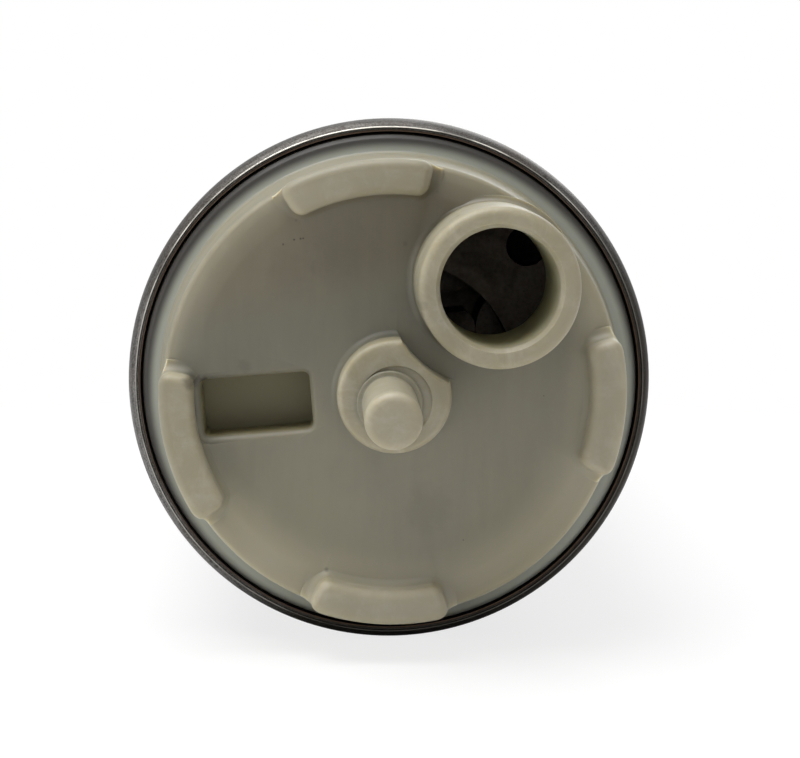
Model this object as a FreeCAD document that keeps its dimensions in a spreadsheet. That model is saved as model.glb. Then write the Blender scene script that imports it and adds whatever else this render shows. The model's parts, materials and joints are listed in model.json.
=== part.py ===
import FreeCAD, Part

import math
import os
import re

import Sketcher
from FreeCAD import Placement, Rotation, Vector

# In-tank electric fuel pump, millimetres.
#
# Every piece is drawn in the pump's own frame: +Z runs along the axis and out of the
# inlet end, Z = 0 is the plane of the shell's inlet lip, and the inside of the pump is
# at negative Z. A last Placement lays the pump on its side, with the inlet facing -Y
# and the middle of the shell at the origin.

doc = FreeCAD.newDocument("FuelPump")
sheet = doc.addObject("Spreadsheet::Sheet", "Dims")

# Driving sizes: name, value, what it is.
SIZES = (
    # Clearances shared by the pieces
    ("slip_fit", "0.05", "radial clearance of a piece that slides into a bore"),
    ("run_fit", "0.03", "radial clearance of a journal or rotor that turns"),
    ("side_gap", "0.02", "gap on each side of the rotors between the port plates"),
    ("seat_gap", "0.05", "gap at a valve or brush that only rests on its seat"),
    ("free_gap", "0.3", "gap between pieces that pass each other"),
    ("overshoot", "1", "how far a cutter runs past a face"),
    # Steel shell
    ("shell_radius", "19.05", "outside radius"),
    ("shell_wall", "1.0", "wall of the tube"),
    ("shell_length", "80", "from lip to lip"),
    ("lip_wall", "0.5", "wall of the turned-down ends"),
    ("lip_turn_in", "0.25", "how far the rolled lips lean in"),
    ("lip_height", "2.0", "height of a rolled lip"),
    ("seat_depth", "4.4", "depth of the turned-down ends"),
    # Inlet cap
    ("disc_lean", "0.6", "how far the disc's wall leans in on its way up"),
    ("disc_height", "5.8", "face of the disc above the lip"),
    ("disc_wall", "2.4", "thickness of the disc"),
    ("disc_foot", "0.2", "foot of the disc's wall above the lip"),
    ("edge_bevel", "0.35", "bevelled edges of the moulding"),
    ("castle_corner", "0.8", "rounded corners of the castellations"),
    ("collar_gap", "0.4", "gap between the lip and the pale ring"),
    ("collar_width", "1.1", "pale ring beside the lip"),
    ("collar_drop", "0.7", "fall of the pale ring"),
    ("collar_wall", "0.5", "outer wall of the pale ring"),
    ("cap_depth", "8", "how deep the cap reaches"),
    ("skirt_wall", "2.4", "wall of the cap's skirt"),
    ("castle_height", "2.2", "castellations above the disc"),
    ("castle_step", "0.2", "how far the castellations stand out from the disc's edge"),
    ("castle_wall", "2.6", "castellations, along the radius"),
    ("castle_a_start", "80.5", "upper castellation, first side, degrees"),
    ("castle_a_span", "39.5", "upper castellation, degrees"),
    ("castle_b_start", "175", "left castellation, first side, degrees"),
    ("castle_b_span", "38.5", "left castellation, degrees"),
    ("castle_c_start", "249", "lower castellation, first side, degrees"),
    ("castle_c_span", "35", "lower castellation, degrees"),
    ("castle_d_start", "339", "right castellation, first side, degrees"),
    ("castle_d_span", "34.7", "right castellation, degrees"),
    ("spigot_x", "6.98", "inlet spigot, centre"),
    ("spigot_y", "7.6", "inlet spigot, centre"),
    ("spigot_radius", "5.4", "inlet spigot, outside"),
    ("spigot_bore_radius", "4.0", "inlet spigot, bore"),
    ("spigot_height", "8.0", "inlet spigot above the disc"),
    ("boss_x", "0.1", "centre boss"),
    ("boss_y", "-0.3", "centre boss"),
    ("boss_radius", "3.95", "centre boss"),
    ("boss_height", "3.0", "centre boss above the disc"),
    ("boss_relief_radius", "7.5", "hollow in the boss, about the spigot"),
    ("peg_x", "-0.25", "strainer peg"),
    ("peg_y", "-0.75", "strainer peg"),
    ("peg_radius", "1.9", "strainer peg"),
    ("peg_height", "12.6", "strainer peg above the disc"),
    ("peg_foot", "0.4", "how far the peg's foot stands out"),
    ("peg_foot_height", "0.6", "the peg's foot above the floor of its well"),
    ("peg_well_x", "0.19", "shallow well round the peg"),
    ("peg_well_y", "-0.63", "shallow well round the peg"),
    ("peg_well_radius", "2.5", "shallow well round the peg"),
    ("peg_well_depth", "0.4", "shallow well round the peg"),
    ("pocket_x", "-9.53", "moulded pocket, centre"),
    ("pocket_y", "-1.2", "moulded pocket, centre"),
    ("pocket_length", "7.67", "moulded pocket"),
    ("pocket_width", "4.03", "moulded pocket"),
    ("pocket_turn", "4.7", "moulded pocket, degrees"),
    ("pocket_depth", "4.0", "moulded pocket"),
    ("pocket_wall", "1.3", "walls of the pocket inside the cap"),
    ("post_radius", "3.4", "post under the peg, inside the cap"),
    ("rib_wall", "1.4", "ribs inside the cap"),
    ("rib_first", "222", "first rib inside the cap, degrees"),
    ("rib_step", "38", "from rib to rib, degrees"),
    # Seal
    ("seal_wire", "1.5", "thickness of the square-cut seal"),
    ("seal_squeeze", "0.04", "gap left round the seal in its groove"),
    # Pumping pack
    ("inlet_plate", "4.0", "thickness of the inlet port plate"),
    ("cam_plate", "6.0", "thickness of the cam ring"),
    ("outlet_plate", "4.0", "thickness of the outlet port plate"),
    ("lobe_round", "3.4", "radius of the outer rotor's round teeth"),
    ("lobe_offset", "1.1", "from the pump's axis to the outer rotor's"),
    ("offset_angle", "-28", "direction of the outer rotor's axis, degrees"),
    ("lobe_count", "6", "lobes of the inner rotor"),
    ("rotor_turn", "25.5", "how far the rotors stand past full mesh, degrees"),
    ("rotor_inset", "6.2", "from the pack's rim to the outer rotor"),
    ("rotor_wall", "3.0", "wall of the outer rotor behind its teeth"),
    ("port_span", "140", "length of the ports, degrees"),
    ("port_inner_radius", "5.7", "inside of the ports"),
    ("port_shadow", "1.0", "depth of the blind ports"),
    ("screw_inset", "3.8", "from the pack's rim to the middle of its screws"),
    ("screw_angle", "42", "first screw, degrees"),
    ("screw_count", "3", "screws through the pack"),
    ("screw_radius", "1.5", "shank of the screws"),
    ("screw_head_radius", "2.6", "head of the screws"),
    ("screw_head", "2.0", "height of the heads"),
    ("screw_recess", "1.6", "how deep the screw ends lie in the plate"),
    # Shaft and bushes
    ("shaft_radius", "2.5", "armature shaft"),
    ("journal_radius", "1.6", "journals at both ends of the shaft"),
    ("journal_length", "3.0", "length of the end journals"),
    ("bush_wall", "1.5", "wall of the plain bushes"),
    ("hub_height", "4.4", "hub of the outlet port plate"),
    ("hub_wall", "1.6", "wall of the hub"),
    ("coupling_radius", "4.6", "drive coupling"),
    ("coupling_disc", "2.4", "disc of the drive coupling"),
    ("dog_circle", "3.7", "circle of the coupling's dogs"),
    ("dog_radius", "0.8", "dogs of the coupling"),
    ("dog_reach", "4.0", "how deep the dogs reach into the rotor"),
    ("dog_count", "3", "dogs of the coupling"),
    # Motor
    ("core_room", "5.6", "from the pack's hub to the armature core"),
    ("slot_count", "8", "slots of the armature"),
    ("slot_inset", "3.6", "from the core's rim to the middle of a slot"),
    ("tooth_wall", "1.45", "iron between two slots"),
    ("slot_mouth", "1.3", "mouth of a slot"),
    ("coil_gap", "0.2", "insulation between a coil and its slot"),
    ("coil_overhang", "3.4", "end turns beyond the core"),
    ("coil_inset", "0.9", "from the core's rim to the end turns"),
    ("coil_room", "0.6", "from the end turns to the commutator"),
    ("washer_thickness", "0.6", "thrust washers"),
    ("commutator_room", "1.0", "from the commutator to the brush holder"),
    ("commutator_length", "4.0", "commutator"),
    ("commutator_radius", "10.0", "commutator"),
    ("commutator_rebate", "0.6", "depth of the rebate round the shaft"),
    ("commutator_rebate_wall", "1.0", "breadth of the rebate round the shaft"),
    ("commutator_slit", "0.5", "slits between the bars"),
    ("commutator_slit_depth", "1.6", "slits between the bars"),
    ("air_gap", "0.5", "between the core and the magnets"),
    ("flux_wall", "2.6", "flux ring round the magnets"),
    ("magnet_wall", "3.4", "magnets"),
    ("magnet_overhang", "3.0", "magnets beyond the core"),
    ("magnet_span", "136", "magnets, degrees"),
    ("clip_wall", "0.5", "clips between the magnets"),
    ("clip_inset", "3.5", "from the magnets' ends to the clips' ends"),
    ("clip_ear", "2.5", "ears of the clips, degrees"),
    # Brush gear
    ("outlet_depth", "8", "how deep the outlet cap reaches"),
    ("holder_length", "10", "brush holder"),
    ("brush_circle", "6.9", "from the axis to the brushes"),
    ("brush_width", "5.0", "brush, along the radius"),
    ("brush_breadth", "3.8", "brush, across the radius"),
    ("brush_length", "6.0", "brush"),
    ("brush_travel", "2.0", "how far a brush can be pushed back"),
    ("lead_radius", "0.45", "brush lead"),
    ("lead_end", "0.4", "end of a brush lead beyond its strip"),
    ("flow_circle", "13.6", "circle of the fuel passages"),
    ("flow_radius", "1.8", "fuel passages"),
    ("flow_count", "6", "fuel passages"),
    ("terminal_wall", "0.8", "terminal strips"),
    ("strip_width", "5.6", "terminal strips over the brushes"),
    # Springs
    ("spring_wire", "0.4", "wire of the springs"),
    ("brush_spring_radius", "1.5", "brush springs, to the middle of the wire"),
    ("check_spring_radius", "2.2", "check valve spring, to the middle of the wire"),
    ("relief_spring_radius", "1.5", "relief valve spring, to the middle of the wire"),
    ("spring_turns", "5", "turns of a spring"),
    # Outlet cap
    ("crown_height", "3.0", "face of the outlet cap beyond the lip"),
    ("crown_wall", "2.6", "thickness of the outlet cap's face"),
    ("crown_inset", "1.9", "from the lip to the outlet cap's face"),
    ("valve_gap", "1.5", "fuel way between the brush holder and the check valve"),
    ("nipple_x", "0", "outlet nipple"),
    ("nipple_y", "6.6", "outlet nipple"),
    ("nipple_radius", "4.0", "outlet nipple"),
    ("nipple_bore_radius", "2.8", "outlet nipple"),
    ("nipple_length", "17.6", "outlet nipple beyond the cap's face"),
    ("nipple_base_radius", "6.2", "thick foot of the nipple"),
    ("nipple_base_height", "5.0", "thick foot of the nipple"),
    ("barb_height", "0.6", "barbs on the nipple"),
    ("barb_length", "3.0", "barbs on the nipple"),
    ("barb_count", "2", "barbs on the nipple"),
    ("check_chamber_radius", "4.2", "room of the check valve"),
    ("check_seat_height", "2.0", "seat of the check valve"),
    ("check_seat_bore", "2.1", "seat of the check valve"),
    ("check_head_radius", "3.1", "head of the poppet"),
    ("check_head", "1.2", "head of the poppet"),
    ("poppet_bevel", "0.4", "bevel of the poppet's head"),
    ("check_shoulder_radius", "1.5", "shoulder that stops the poppet at the guide"),
    ("check_stem_radius", "0.9", "stem of the poppet"),
    ("check_lift", "1.8", "lift of the poppet"),
    ("guide_height", "1.8", "guide of the poppet"),
    ("guide_hole_circle", "2.35", "circle of the guide's passages"),
    ("guide_hole_radius", "0.75", "passages of the guide"),
    ("guide_hole_count", "4", "passages of the guide"),
    ("relief_x", "-9.4", "relief valve"),
    ("relief_y", "-1.6", "relief valve"),
    ("relief_chamber_radius", "2.2", "room of the relief valve"),
    ("relief_boss_radius", "3.8", "outside of the relief valve's tower"),
    ("relief_boss_height", "4.0", "tower beyond the cap's face"),
    ("relief_seat_radius", "1.2", "mouth under the ball"),
    ("relief_lip", "1.0", "wall in front of the ball's seat"),
    ("relief_ball_radius", "1.9", "ball of the relief valve"),
    ("relief_plug", "2.2", "plug of the relief valve"),
    ("relief_vent_radius", "0.8", "hole of the plug"),
    ("plug_edge", "10.2", "connector shroud, side away from the relief valve"),
    ("plug_y", "-8.2", "connector shroud, centre"),
    ("plug_length", "14.0", "connector shroud"),
    ("plug_width", "8.4", "connector shroud"),
    ("plug_height", "9.5", "connector shroud beyond the cap's face"),
    ("plug_wall", "1.3", "connector shroud"),
    ("plug_corner", "1.6", "connector shroud"),
    ("blade_width", "2.8", "terminal blades"),
    ("blade_pitch", "5.6", "terminal blades"),
    ("blade_height", "5.0", "terminal blades beyond the cap's face"),
    ("latch_width", "4.0", "latch nose on the shroud"),
    ("latch_depth", "1.0", "latch nose on the shroud"),
    ("latch_height", "2.2", "latch nose on the shroud"),
)

# Sizes that follow from the driving ones: name, formula.
FORMULAS = (
    ("bore_radius", "shell_radius - shell_wall"),
    ("fit_radius", "bore_radius - slip_fit"),
    ("lip_radius", "shell_radius - lip_wall - lip_turn_in"),
    ("seat_radius", "shell_radius - lip_wall - slip_fit"),
    ("rim_y", "-shell_length / 2"),
    ("shell_back", "-shell_length"),
    ("collar_radius", "lip_radius - collar_gap"),
    ("foot_radius", "collar_radius - collar_width"),
    ("disc_radius", "foot_radius - disc_lean"),
    ("castle_radius", "disc_radius + castle_step"),
    ("castle_inner_radius", "castle_radius - castle_wall"),
    ("disc_underside", "disc_height - disc_wall"),
    ("spigot_top", "disc_height + spigot_height"),
    ("pocket_floor", "disc_height - pocket_depth"),
    ("plate_face", "-cap_depth"),
    ("cam_face", "plate_face - inlet_plate"),
    ("outlet_plate_face", "cam_face - cam_plate"),
    ("pack_back", "outlet_plate_face - outlet_plate"),
    ("hub_back", "pack_back - hub_height"),
    ("rotor_width", "cam_plate - 2 * side_gap"),
    ("tooth_count", "lobe_count + 1"),
    ("outer_rotor_radius", "fit_radius - rotor_inset"),
    ("root_radius", "outer_rotor_radius - rotor_wall"),
    ("lobe_pitch", "root_radius + lobe_round - 2 * lobe_offset"),
    ("screw_circle", "fit_radius - screw_inset"),
    ("suction_angle", "offset_angle + (180 - port_span) / 2"),
    ("pressure_angle", "suction_angle + 180"),
    ("offset_x", "lobe_offset * cos(offset_angle)"),
    ("offset_y", "lobe_offset * sin(offset_angle)"),
    ("seal_radius", "fit_radius + slip_fit - seal_wire / 2 - seal_squeeze"),
    ("groove_radius", "seal_radius - seal_wire / 2 - seal_squeeze"),
    ("groove_width", "seal_wire + 2 * seal_squeeze"),
    ("outlet_seal_z", "crown_front - groove_width"),
    ("bush_radius", "shaft_radius + bush_wall"),
    ("end_bush_radius", "journal_radius + bush_wall"),
    ("holder_back", "shell_back + outlet_depth"),
    ("holder_face", "holder_back + holder_length"),
    ("commutator_back", "holder_face + commutator_room"),
    ("commutator_face", "commutator_back + commutator_length"),
    ("coil_back", "commutator_face + coil_room"),
    ("core_back", "coil_back + coil_overhang"),
    ("core_face", "hub_back - core_room"),
    ("core_length", "core_face - core_back"),
    ("magnet_outer_radius", "fit_radius - flux_wall"),
    ("magnet_inner_radius", "magnet_outer_radius - magnet_wall"),
    ("core_radius", "magnet_inner_radius - air_gap"),
    ("coil_outer_radius", "core_radius - coil_inset"),
    ("slot_circle", "core_radius - slot_inset"),
    ("slot_radius", "slot_circle * sin(180 / slot_count) - tooth_wall / 2"),
    ("magnet_face", "core_face + magnet_overhang"),
    ("magnet_length", "core_length + 2 * magnet_overhang"),
    ("clip_length", "magnet_length - 2 * clip_inset"),
    ("head_room_radius", "screw_circle + screw_head_radius + free_gap"),
    ("brush_face", "commutator_back - seat_gap"),
    ("brush_back", "brush_face - brush_length"),
    ("strip_back", "holder_back - terminal_wall"),
    ("crown_face", "shell_back - crown_height"),
    ("crown_underside", "crown_face + crown_wall"),
    ("crown_radius", "lip_radius - crown_inset"),
    ("crown_front", "holder_back"),
    ("check_front", "crown_front - valve_gap"),
    ("check_seat_back", "check_front - check_seat_height"),
    ("check_head_face", "check_seat_back - seat_gap"),
    ("check_head_back", "check_head_face - check_head"),
    ("nipple_base_back", "crown_face - nipple_base_height"),
    ("nipple_back", "crown_face - nipple_length"),
    ("guide_back", "nipple_base_back + crown_wall"),
    ("guide_front", "guide_back + guide_height"),
    ("relief_back", "crown_face - relief_boss_height"),
    ("plug_x", "plug_edge - plug_length / 2"),
    ("relief_front", "strip_back - lead_end - brush_travel - free_gap"),
    ("relief_seat", "relief_front - relief_lip"),
    ("relief_ball_z", "relief_seat - seat_gap - sqrt(relief_ball_radius^2 - relief_seat_radius^2)"),
    ("relief_plug_front", "relief_back + relief_plug"),
    ("plug_back", "crown_face - plug_height"),
    ("blade_back", "crown_face - blade_height"),
)

# Arcs that follow one lobe of the inner rotor
ARCS_PER_LOBE = 8

# Flat sides of a spring's wire
WIRE_SIDES = 4

NAMES = set()
FINISHED = []


def fill_sheet():
    """Writes the driving sizes as plain numbers and the rest as formulas."""
    rows = [(name, value) for name, value, note in SIZES]
    rows += [(name, "=" + formula) for name, formula in FORMULAS]
    for number, (name, content) in enumerate(rows, start=1):
        cell = "A%d" % number
        sheet.set(cell, content)
        sheet.setAlias(cell, name)
        NAMES.add(name)
    doc.recompute()


def link(text):
    """A formula of size names, written so that any object can read it from the sheet."""
    return re.sub(r"[a-z][a-z_]*", lambda found: "Dims." + found.group()
                  if found.group() in NAMES else found.group(), text)


def size(name):
    """The present number of a named size."""
    return float(sheet.get(name))


def bind(thing, prop, text):
    """Ties a property to a formula of named sizes."""
    thing.setExpression(prop, link(text))


def finish(thing, label):
    """Names a finished piece and lays it in the row's frame."""
    thing.Label = label
    thing.Placement = Placement(Vector(0, 0, 0), Rotation(Vector(1, 0, 0), 90))
    bind(thing, "Placement.Base.y", "rim_y")
    FINISHED.append(thing)
    return thing


# Sketches and features

def new_body(name):
    return doc.addObject("PartDesign::Body", name)


def sketch_on(body, name, role="XY_Plane", height="0", across="0"):
    """A sketch on one of the body's own planes, moved along Z, or beside the axis."""
    sketch = body.newObject("Sketcher::SketchObject", name)
    plane = [item for item in body.Origin.OriginFeatures if item.Role == role][0]
    sketch.AttachmentSupport = [(plane, "")]
    sketch.MapMode = "FlatFace"
    if role == "XY_Plane":
        bind(sketch, "AttachmentOffset.Base.z", height)
    else:
        bind(sketch, "AttachmentOffset.Base.x", across)
        bind(sketch, "AttachmentOffset.Base.z", "-(" + height + ")")
    return sketch


def pin_down(sketch, geometry, end, across, up):
    """Dimensions one point from the sketch's origin."""
    for kind, text in (("DistanceX", across), ("DistanceY", up)):
        number = sketch.addConstraint(Sketcher.Constraint(kind, -1, 1, geometry, end, 0.0))
        if text != "0":
            bind(sketch, "Constraints[%d]" % number, text)


def add_circle(sketch, across, up, radius):
    number = sketch.addGeometry(Part.Circle(Vector(0, 0, 0), Vector(0, 0, 1), 1.0), False)
    pin_down(sketch, number, 3, across, up)
    rule = sketch.addConstraint(Sketcher.Constraint("Radius", number, 1.0))
    bind(sketch, "Constraints[%d]" % rule, radius)


def add_outline(sketch, corners):
    """A closed outline of straight runs, each corner dimensioned both ways."""
    count = len(corners)
    first = sketch.GeometryCount
    ring = [Vector(10 * math.cos(2 * math.pi * step / count), 10 * math.sin(2 * math.pi * step / count), 0)
            for step in range(count + 1)]
    for step in range(count):
        sketch.addGeometry(Part.LineSegment(ring[step], ring[step + 1]), False)
    for step in range(count):
        following = first + (step + 1) % count
        sketch.addConstraint(Sketcher.Constraint("Coincident", first + step, 2, following, 1))
    for step, (across, up) in enumerate(corners):
        pin_down(sketch, first + step, 1, across, up)


def add_rectangle(sketch, across, up, width, depth):
    """A rectangle about a centre."""
    left = "%s - (%s) / 2" % (across, width)
    right = "%s + (%s) / 2" % (across, width)
    low = "%s - (%s) / 2" % (up, depth)
    high = "%s + (%s) / 2" % (up, depth)
    add_outline(sketch, [(left, low), (right, low), (right, high), (left, high)])


def spin(body, name, corners, across="0", up="0", kind="PartDesign::Revolution"):
    """Turns an outline of (radius, height) corners about the Z axis, or one beside it."""
    sketch = sketch_on(body, name + "_outline", "XZ_Plane", up, across)
    add_outline(sketch, corners)
    feature = body.newObject(kind, name)
    feature.Profile = sketch
    feature.ReferenceAxis = (sketch, ["V_Axis"])
    feature.Angle = 360
    return feature


def pad(body, name, sketch, length):
    """Raises a sketch towards +Z."""
    feature = body.newObject("PartDesign::Pad", name)
    feature.Profile = sketch
    bind(feature, "Length", length)
    return feature


def pocket(body, name, sketch, depth):
    """Sinks a sketch towards -Z, and makes sure that it cuts."""
    doc.recompute()
    before = body.Shape.Volume
    feature = body.newObject("PartDesign::Pocket", name)
    feature.Profile = sketch
    bind(feature, "Length", depth)
    doc.recompute()
    if not body.Shape.Volume < before - 1e-6:
        raise RuntimeError("%s cuts nothing" % name)
    return feature


def groove(body, name, corners):
    """Cuts a ring out of a turned piece, and makes sure that it cuts."""
    doc.recompute()
    before = body.Shape.Volume
    feature = spin(body, name, corners, kind="PartDesign::Groove")
    doc.recompute()
    if not body.Shape.Volume < before - 1e-6:
        raise RuntimeError("%s cuts nothing" % name)
    return feature


def repeat(body, name, feature, sketch, count):
    """Repeats a feature evenly round the pump's axis."""
    pattern = body.newObject("PartDesign::PolarPattern", name)
    pattern.Originals = [feature]
    pattern.Axis = (sketch, ["N_Axis"])
    pattern.Angle = 360
    bind(pattern, "Occurrences", count)
    body.Tip = pattern
    return pattern


def pick_edges(name, feature, wanted):
    """The names of the edges of a feature that the test picks."""
    doc.recompute()
    edges = ["Edge%d" % number for number, edge in enumerate(feature.Shape.Edges, start=1) if wanted(edge)]
    if not edges:
        raise RuntimeError("%s finds no edge" % name)
    return edges


def round_edges(body, name, feature, radius, wanted):
    """Rounds the edges of a feature that the test picks."""
    edges = pick_edges(name, feature, wanted)
    fillet = body.newObject("PartDesign::Fillet", name)
    fillet.Base = (feature, edges)
    bind(fillet, "Radius", radius)
    return fillet


def bevel_edges(body, name, feature, breadth, wanted):
    """Bevels the edges of a feature that the test picks."""
    edges = pick_edges(name, feature, wanted)
    bevel = body.newObject("PartDesign::Chamfer", name)
    bevel.Base = (feature, edges)
    bind(bevel, "Size", breadth)
    return bevel


def lies_at(edge, height):
    """Whether an edge lies flat at a height."""
    box = edge.BoundBox
    return abs(box.ZMin - height) < 1e-4 and abs(box.ZMax - height) < 1e-4


def is_ring(edge, across, up, radius):
    """Whether an edge is an arc about a point of the plan."""
    curve = edge.Curve
    if not isinstance(curve, Part.Circle):
        return False
    off = math.hypot(curve.Center.x - across, curve.Center.y - up)
    return off < 1e-4 and abs(curve.Radius - radius) < 1e-4


def cylinder(name, radius, low, length, across="0", up="0", turn="0", span="360"):
    """A round bar or a sector of one, standing on a height."""
    bar = doc.addObject("Part::Cylinder", name)
    bind(bar, "Radius", radius)
    bind(bar, "Height", length)
    bind(bar, "Angle", span)
    bar.Placement = Placement(Vector(0, 0, 0), Rotation(Vector(0, 0, 1), 0))
    bind(bar, "Placement.Base.x", across)
    bind(bar, "Placement.Base.y", up)
    bind(bar, "Placement.Base.z", low)
    bind(bar, "Placement.Rotation.Angle", turn)
    return bar


def drill(name, radius, low, length, across="0", up="0"):
    """A round cutter that runs past both faces of what it goes through."""
    return cylinder(name, radius, low + " - overshoot", length + " + 2 * overshoot", across, up)


def fuse(name, things):
    joined = doc.addObject("Part::MultiFuse", name)
    joined.Shapes = things
    return joined


def cut(name, base, tool):
    rest = doc.addObject("Part::Cut", name)
    rest.Base = base
    rest.Tool = tool
    return rest


def common(name, base, tool):
    shared = doc.addObject("Part::Common", name)
    shared.Base = base
    shared.Tool = tool
    return shared


def polar(circle, angle):
    """The two coordinates of a point on a circle, as formulas."""
    return "(%s) * cos(%s)" % (circle, angle), "(%s) * sin(%s)" % (circle, angle)


# Shell

def make_shell():
    """Steel tube, turned thin at both ends and rolled in over the two caps."""
    body = new_body("Shell")
    outer_back = "shell_back + lip_height"
    inner_back = "shell_back + seat_depth"
    thin = "shell_radius - lip_wall"
    spin(body, "ShellTube", [
        ("shell_radius - lip_turn_in", "0"),
        ("shell_radius", "-lip_height"),
        ("shell_radius", outer_back),
        ("shell_radius - lip_turn_in", "shell_back"),
        ("lip_radius", "shell_back"),
        (thin, outer_back),
        (thin, inner_back),
        ("bore_radius", inner_back),
        ("bore_radius", "-seat_depth"),
        (thin, "-seat_depth"),
        (thin, "-lip_height"),
        ("lip_radius", "0"),
    ])
    return finish(body, "shell")


# Inlet end

def make_inlet_cap():
    """Moulded cap: castellated disc, offset spigot, strainer peg, pocket and ribs."""
    body = new_body("InletCap")
    spin(body, "CapForm", [
        ("0", "disc_height"),
        ("disc_radius - edge_bevel", "disc_height"),
        ("disc_radius", "disc_height - edge_bevel"),
        ("foot_radius", "disc_foot"),
        ("collar_radius", "-collar_drop"),
        ("collar_radius", "-collar_drop - collar_wall"),
        ("seat_radius", "-lip_height - slip_fit"),
        ("seat_radius", "-seat_depth"),
        ("fit_radius", "-seat_depth"),
        ("fit_radius", "plate_face"),
        ("fit_radius - skirt_wall", "plate_face"),
        ("fit_radius - skirt_wall", "disc_underside"),
        ("0", "disc_underside"),
    ])

    sketch = sketch_on(body, "SpigotSketch", height="disc_underside")
    add_circle(sketch, "spigot_x", "spigot_y", "spigot_radius")
    pad(body, "Spigot", sketch, "disc_wall + spigot_height")

    sketch = sketch_on(body, "BossSketch", height="disc_underside")
    add_circle(sketch, "boss_x", "boss_y", "boss_radius")
    pad(body, "Boss", sketch, "disc_wall + boss_height")

    # Hollow in the boss about the spigot, which keeps the spigot's own wall
    sketch = sketch_on(body, "ReliefSketch", height="disc_height + boss_height")
    add_circle(sketch, "spigot_x", "spigot_y", "boss_relief_radius")
    add_circle(sketch, "spigot_x", "spigot_y", "spigot_radius")
    pocket(body, "BossRelief", sketch, "boss_height")

    sketch = sketch_on(body, "WellSketch", height="disc_height + boss_height")
    add_circle(sketch, "peg_well_x", "peg_well_y", "peg_well_radius")
    pocket(body, "PegWell", sketch, "peg_well_depth")

    sketch = sketch_on(body, "PegSketch", height="disc_underside")
    add_circle(sketch, "peg_x", "peg_y", "peg_radius")
    pad(body, "Peg", sketch, "disc_wall + peg_height")

    sketch = sketch_on(body, "PegFootSketch", height="disc_underside")
    add_circle(sketch, "peg_x", "peg_y", "peg_radius + peg_foot")
    pad(body, "PegFoot", sketch, "disc_wall + boss_height - peg_well_depth + peg_foot_height")

    add_cap_inside(body)

    sketch = sketch_on(body, "PocketSketch", height="disc_height")
    add_turned_rectangle(sketch, "pocket_length", "pocket_width")
    pocket(body, "Pocket", sketch, "pocket_depth")

    sketch = sketch_on(body, "BoreSketch", height="spigot_top")
    add_circle(sketch, "spigot_x", "spigot_y", "spigot_bore_radius")
    bore = pocket(body, "SpigotBore", sketch, "spigot_top - disc_underside")

    bevel_edges(body, "CapBevels", bore, "edge_bevel", is_soft_edge)
    castles = [make_castle(letter) for letter in "abcd"]
    return finish(fuse("Cap", [body] + castles), "inlet_cap")


def make_castle(letter):
    """One castellation with round corners and a bevelled top."""
    body = new_body("Castle" + letter)
    sketch = sketch_on(body, "CastleSketch" + letter, height="disc_underside")
    add_castle(sketch, "castle_%s_start" % letter, "castle_%s_span" % letter)
    block = pad(body, "CastlePad" + letter, sketch, "disc_wall + castle_height")
    corners = round_edges(body, "CastleCorners" + letter, block, "castle_corner", is_upright)
    bevel_edges(body, "CastleBevel" + letter, corners, "edge_bevel", is_castle_top)
    return body


def is_upright(edge):
    """Whether an edge stands parallel to the pump's axis."""
    box = edge.BoundBox
    return box.XLength < 1e-4 and box.YLength < 1e-4


def is_castle_top(edge):
    return lies_at(edge, size("disc_height") + size("castle_height"))


def add_castle(sketch, start, span):
    """A sector of a ring, from one angle through a span."""
    first = math.radians(size(start))
    last = first + math.radians(size(span))
    axis = Vector(0, 0, 1)
    for name in ("castle_inner_radius", "castle_radius"):
        circle = Part.Circle(Vector(0, 0, 0), axis, size(name))
        number = sketch.addGeometry(Part.ArcOfCircle(circle, first, last), False)
        sketch.addConstraint(Sketcher.Constraint("Coincident", number, 3, -1, 1))
        rule = sketch.addConstraint(Sketcher.Constraint("Radius", number, size(name)))
        bind(sketch, "Constraints[%d]" % rule, name)
    for end, angle, formula in ((1, first, start), (2, last, "%s + %s" % (start, span))):
        way = Vector(math.cos(angle), math.sin(angle), 0)
        side = Part.LineSegment(way * size("castle_inner_radius"), way * size("castle_radius"))
        number = sketch.addGeometry(side, False)
        sketch.addConstraint(Sketcher.Constraint("Coincident", number, 1, 0, end))
        sketch.addConstraint(Sketcher.Constraint("Coincident", number, 2, 1, end))
        sketch.addConstraint(Sketcher.Constraint("PointOnObject", -1, 1, number))
        rule = sketch.addConstraint(Sketcher.Constraint("Angle", number, angle))
        bind(sketch, "Constraints[%d]" % rule, formula)


def add_turned_rectangle(sketch, length, width):
    """The pocket's rectangle, turned about its own centre."""
    corners = []
    for side, rise in ((-0.5, -0.5), (0.5, -0.5), (0.5, 0.5), (-0.5, 0.5)):
        along = "%s * (%s)" % (side, length)
        over = "%s * (%s)" % (rise, width)
        across = "pocket_x + %s * cos(pocket_turn) - %s * sin(pocket_turn)" % (along, over)
        up = "pocket_y + %s * sin(pocket_turn) + %s * cos(pocket_turn)" % (along, over)
        corners.append((across, up))
    add_outline(sketch, corners)


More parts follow.
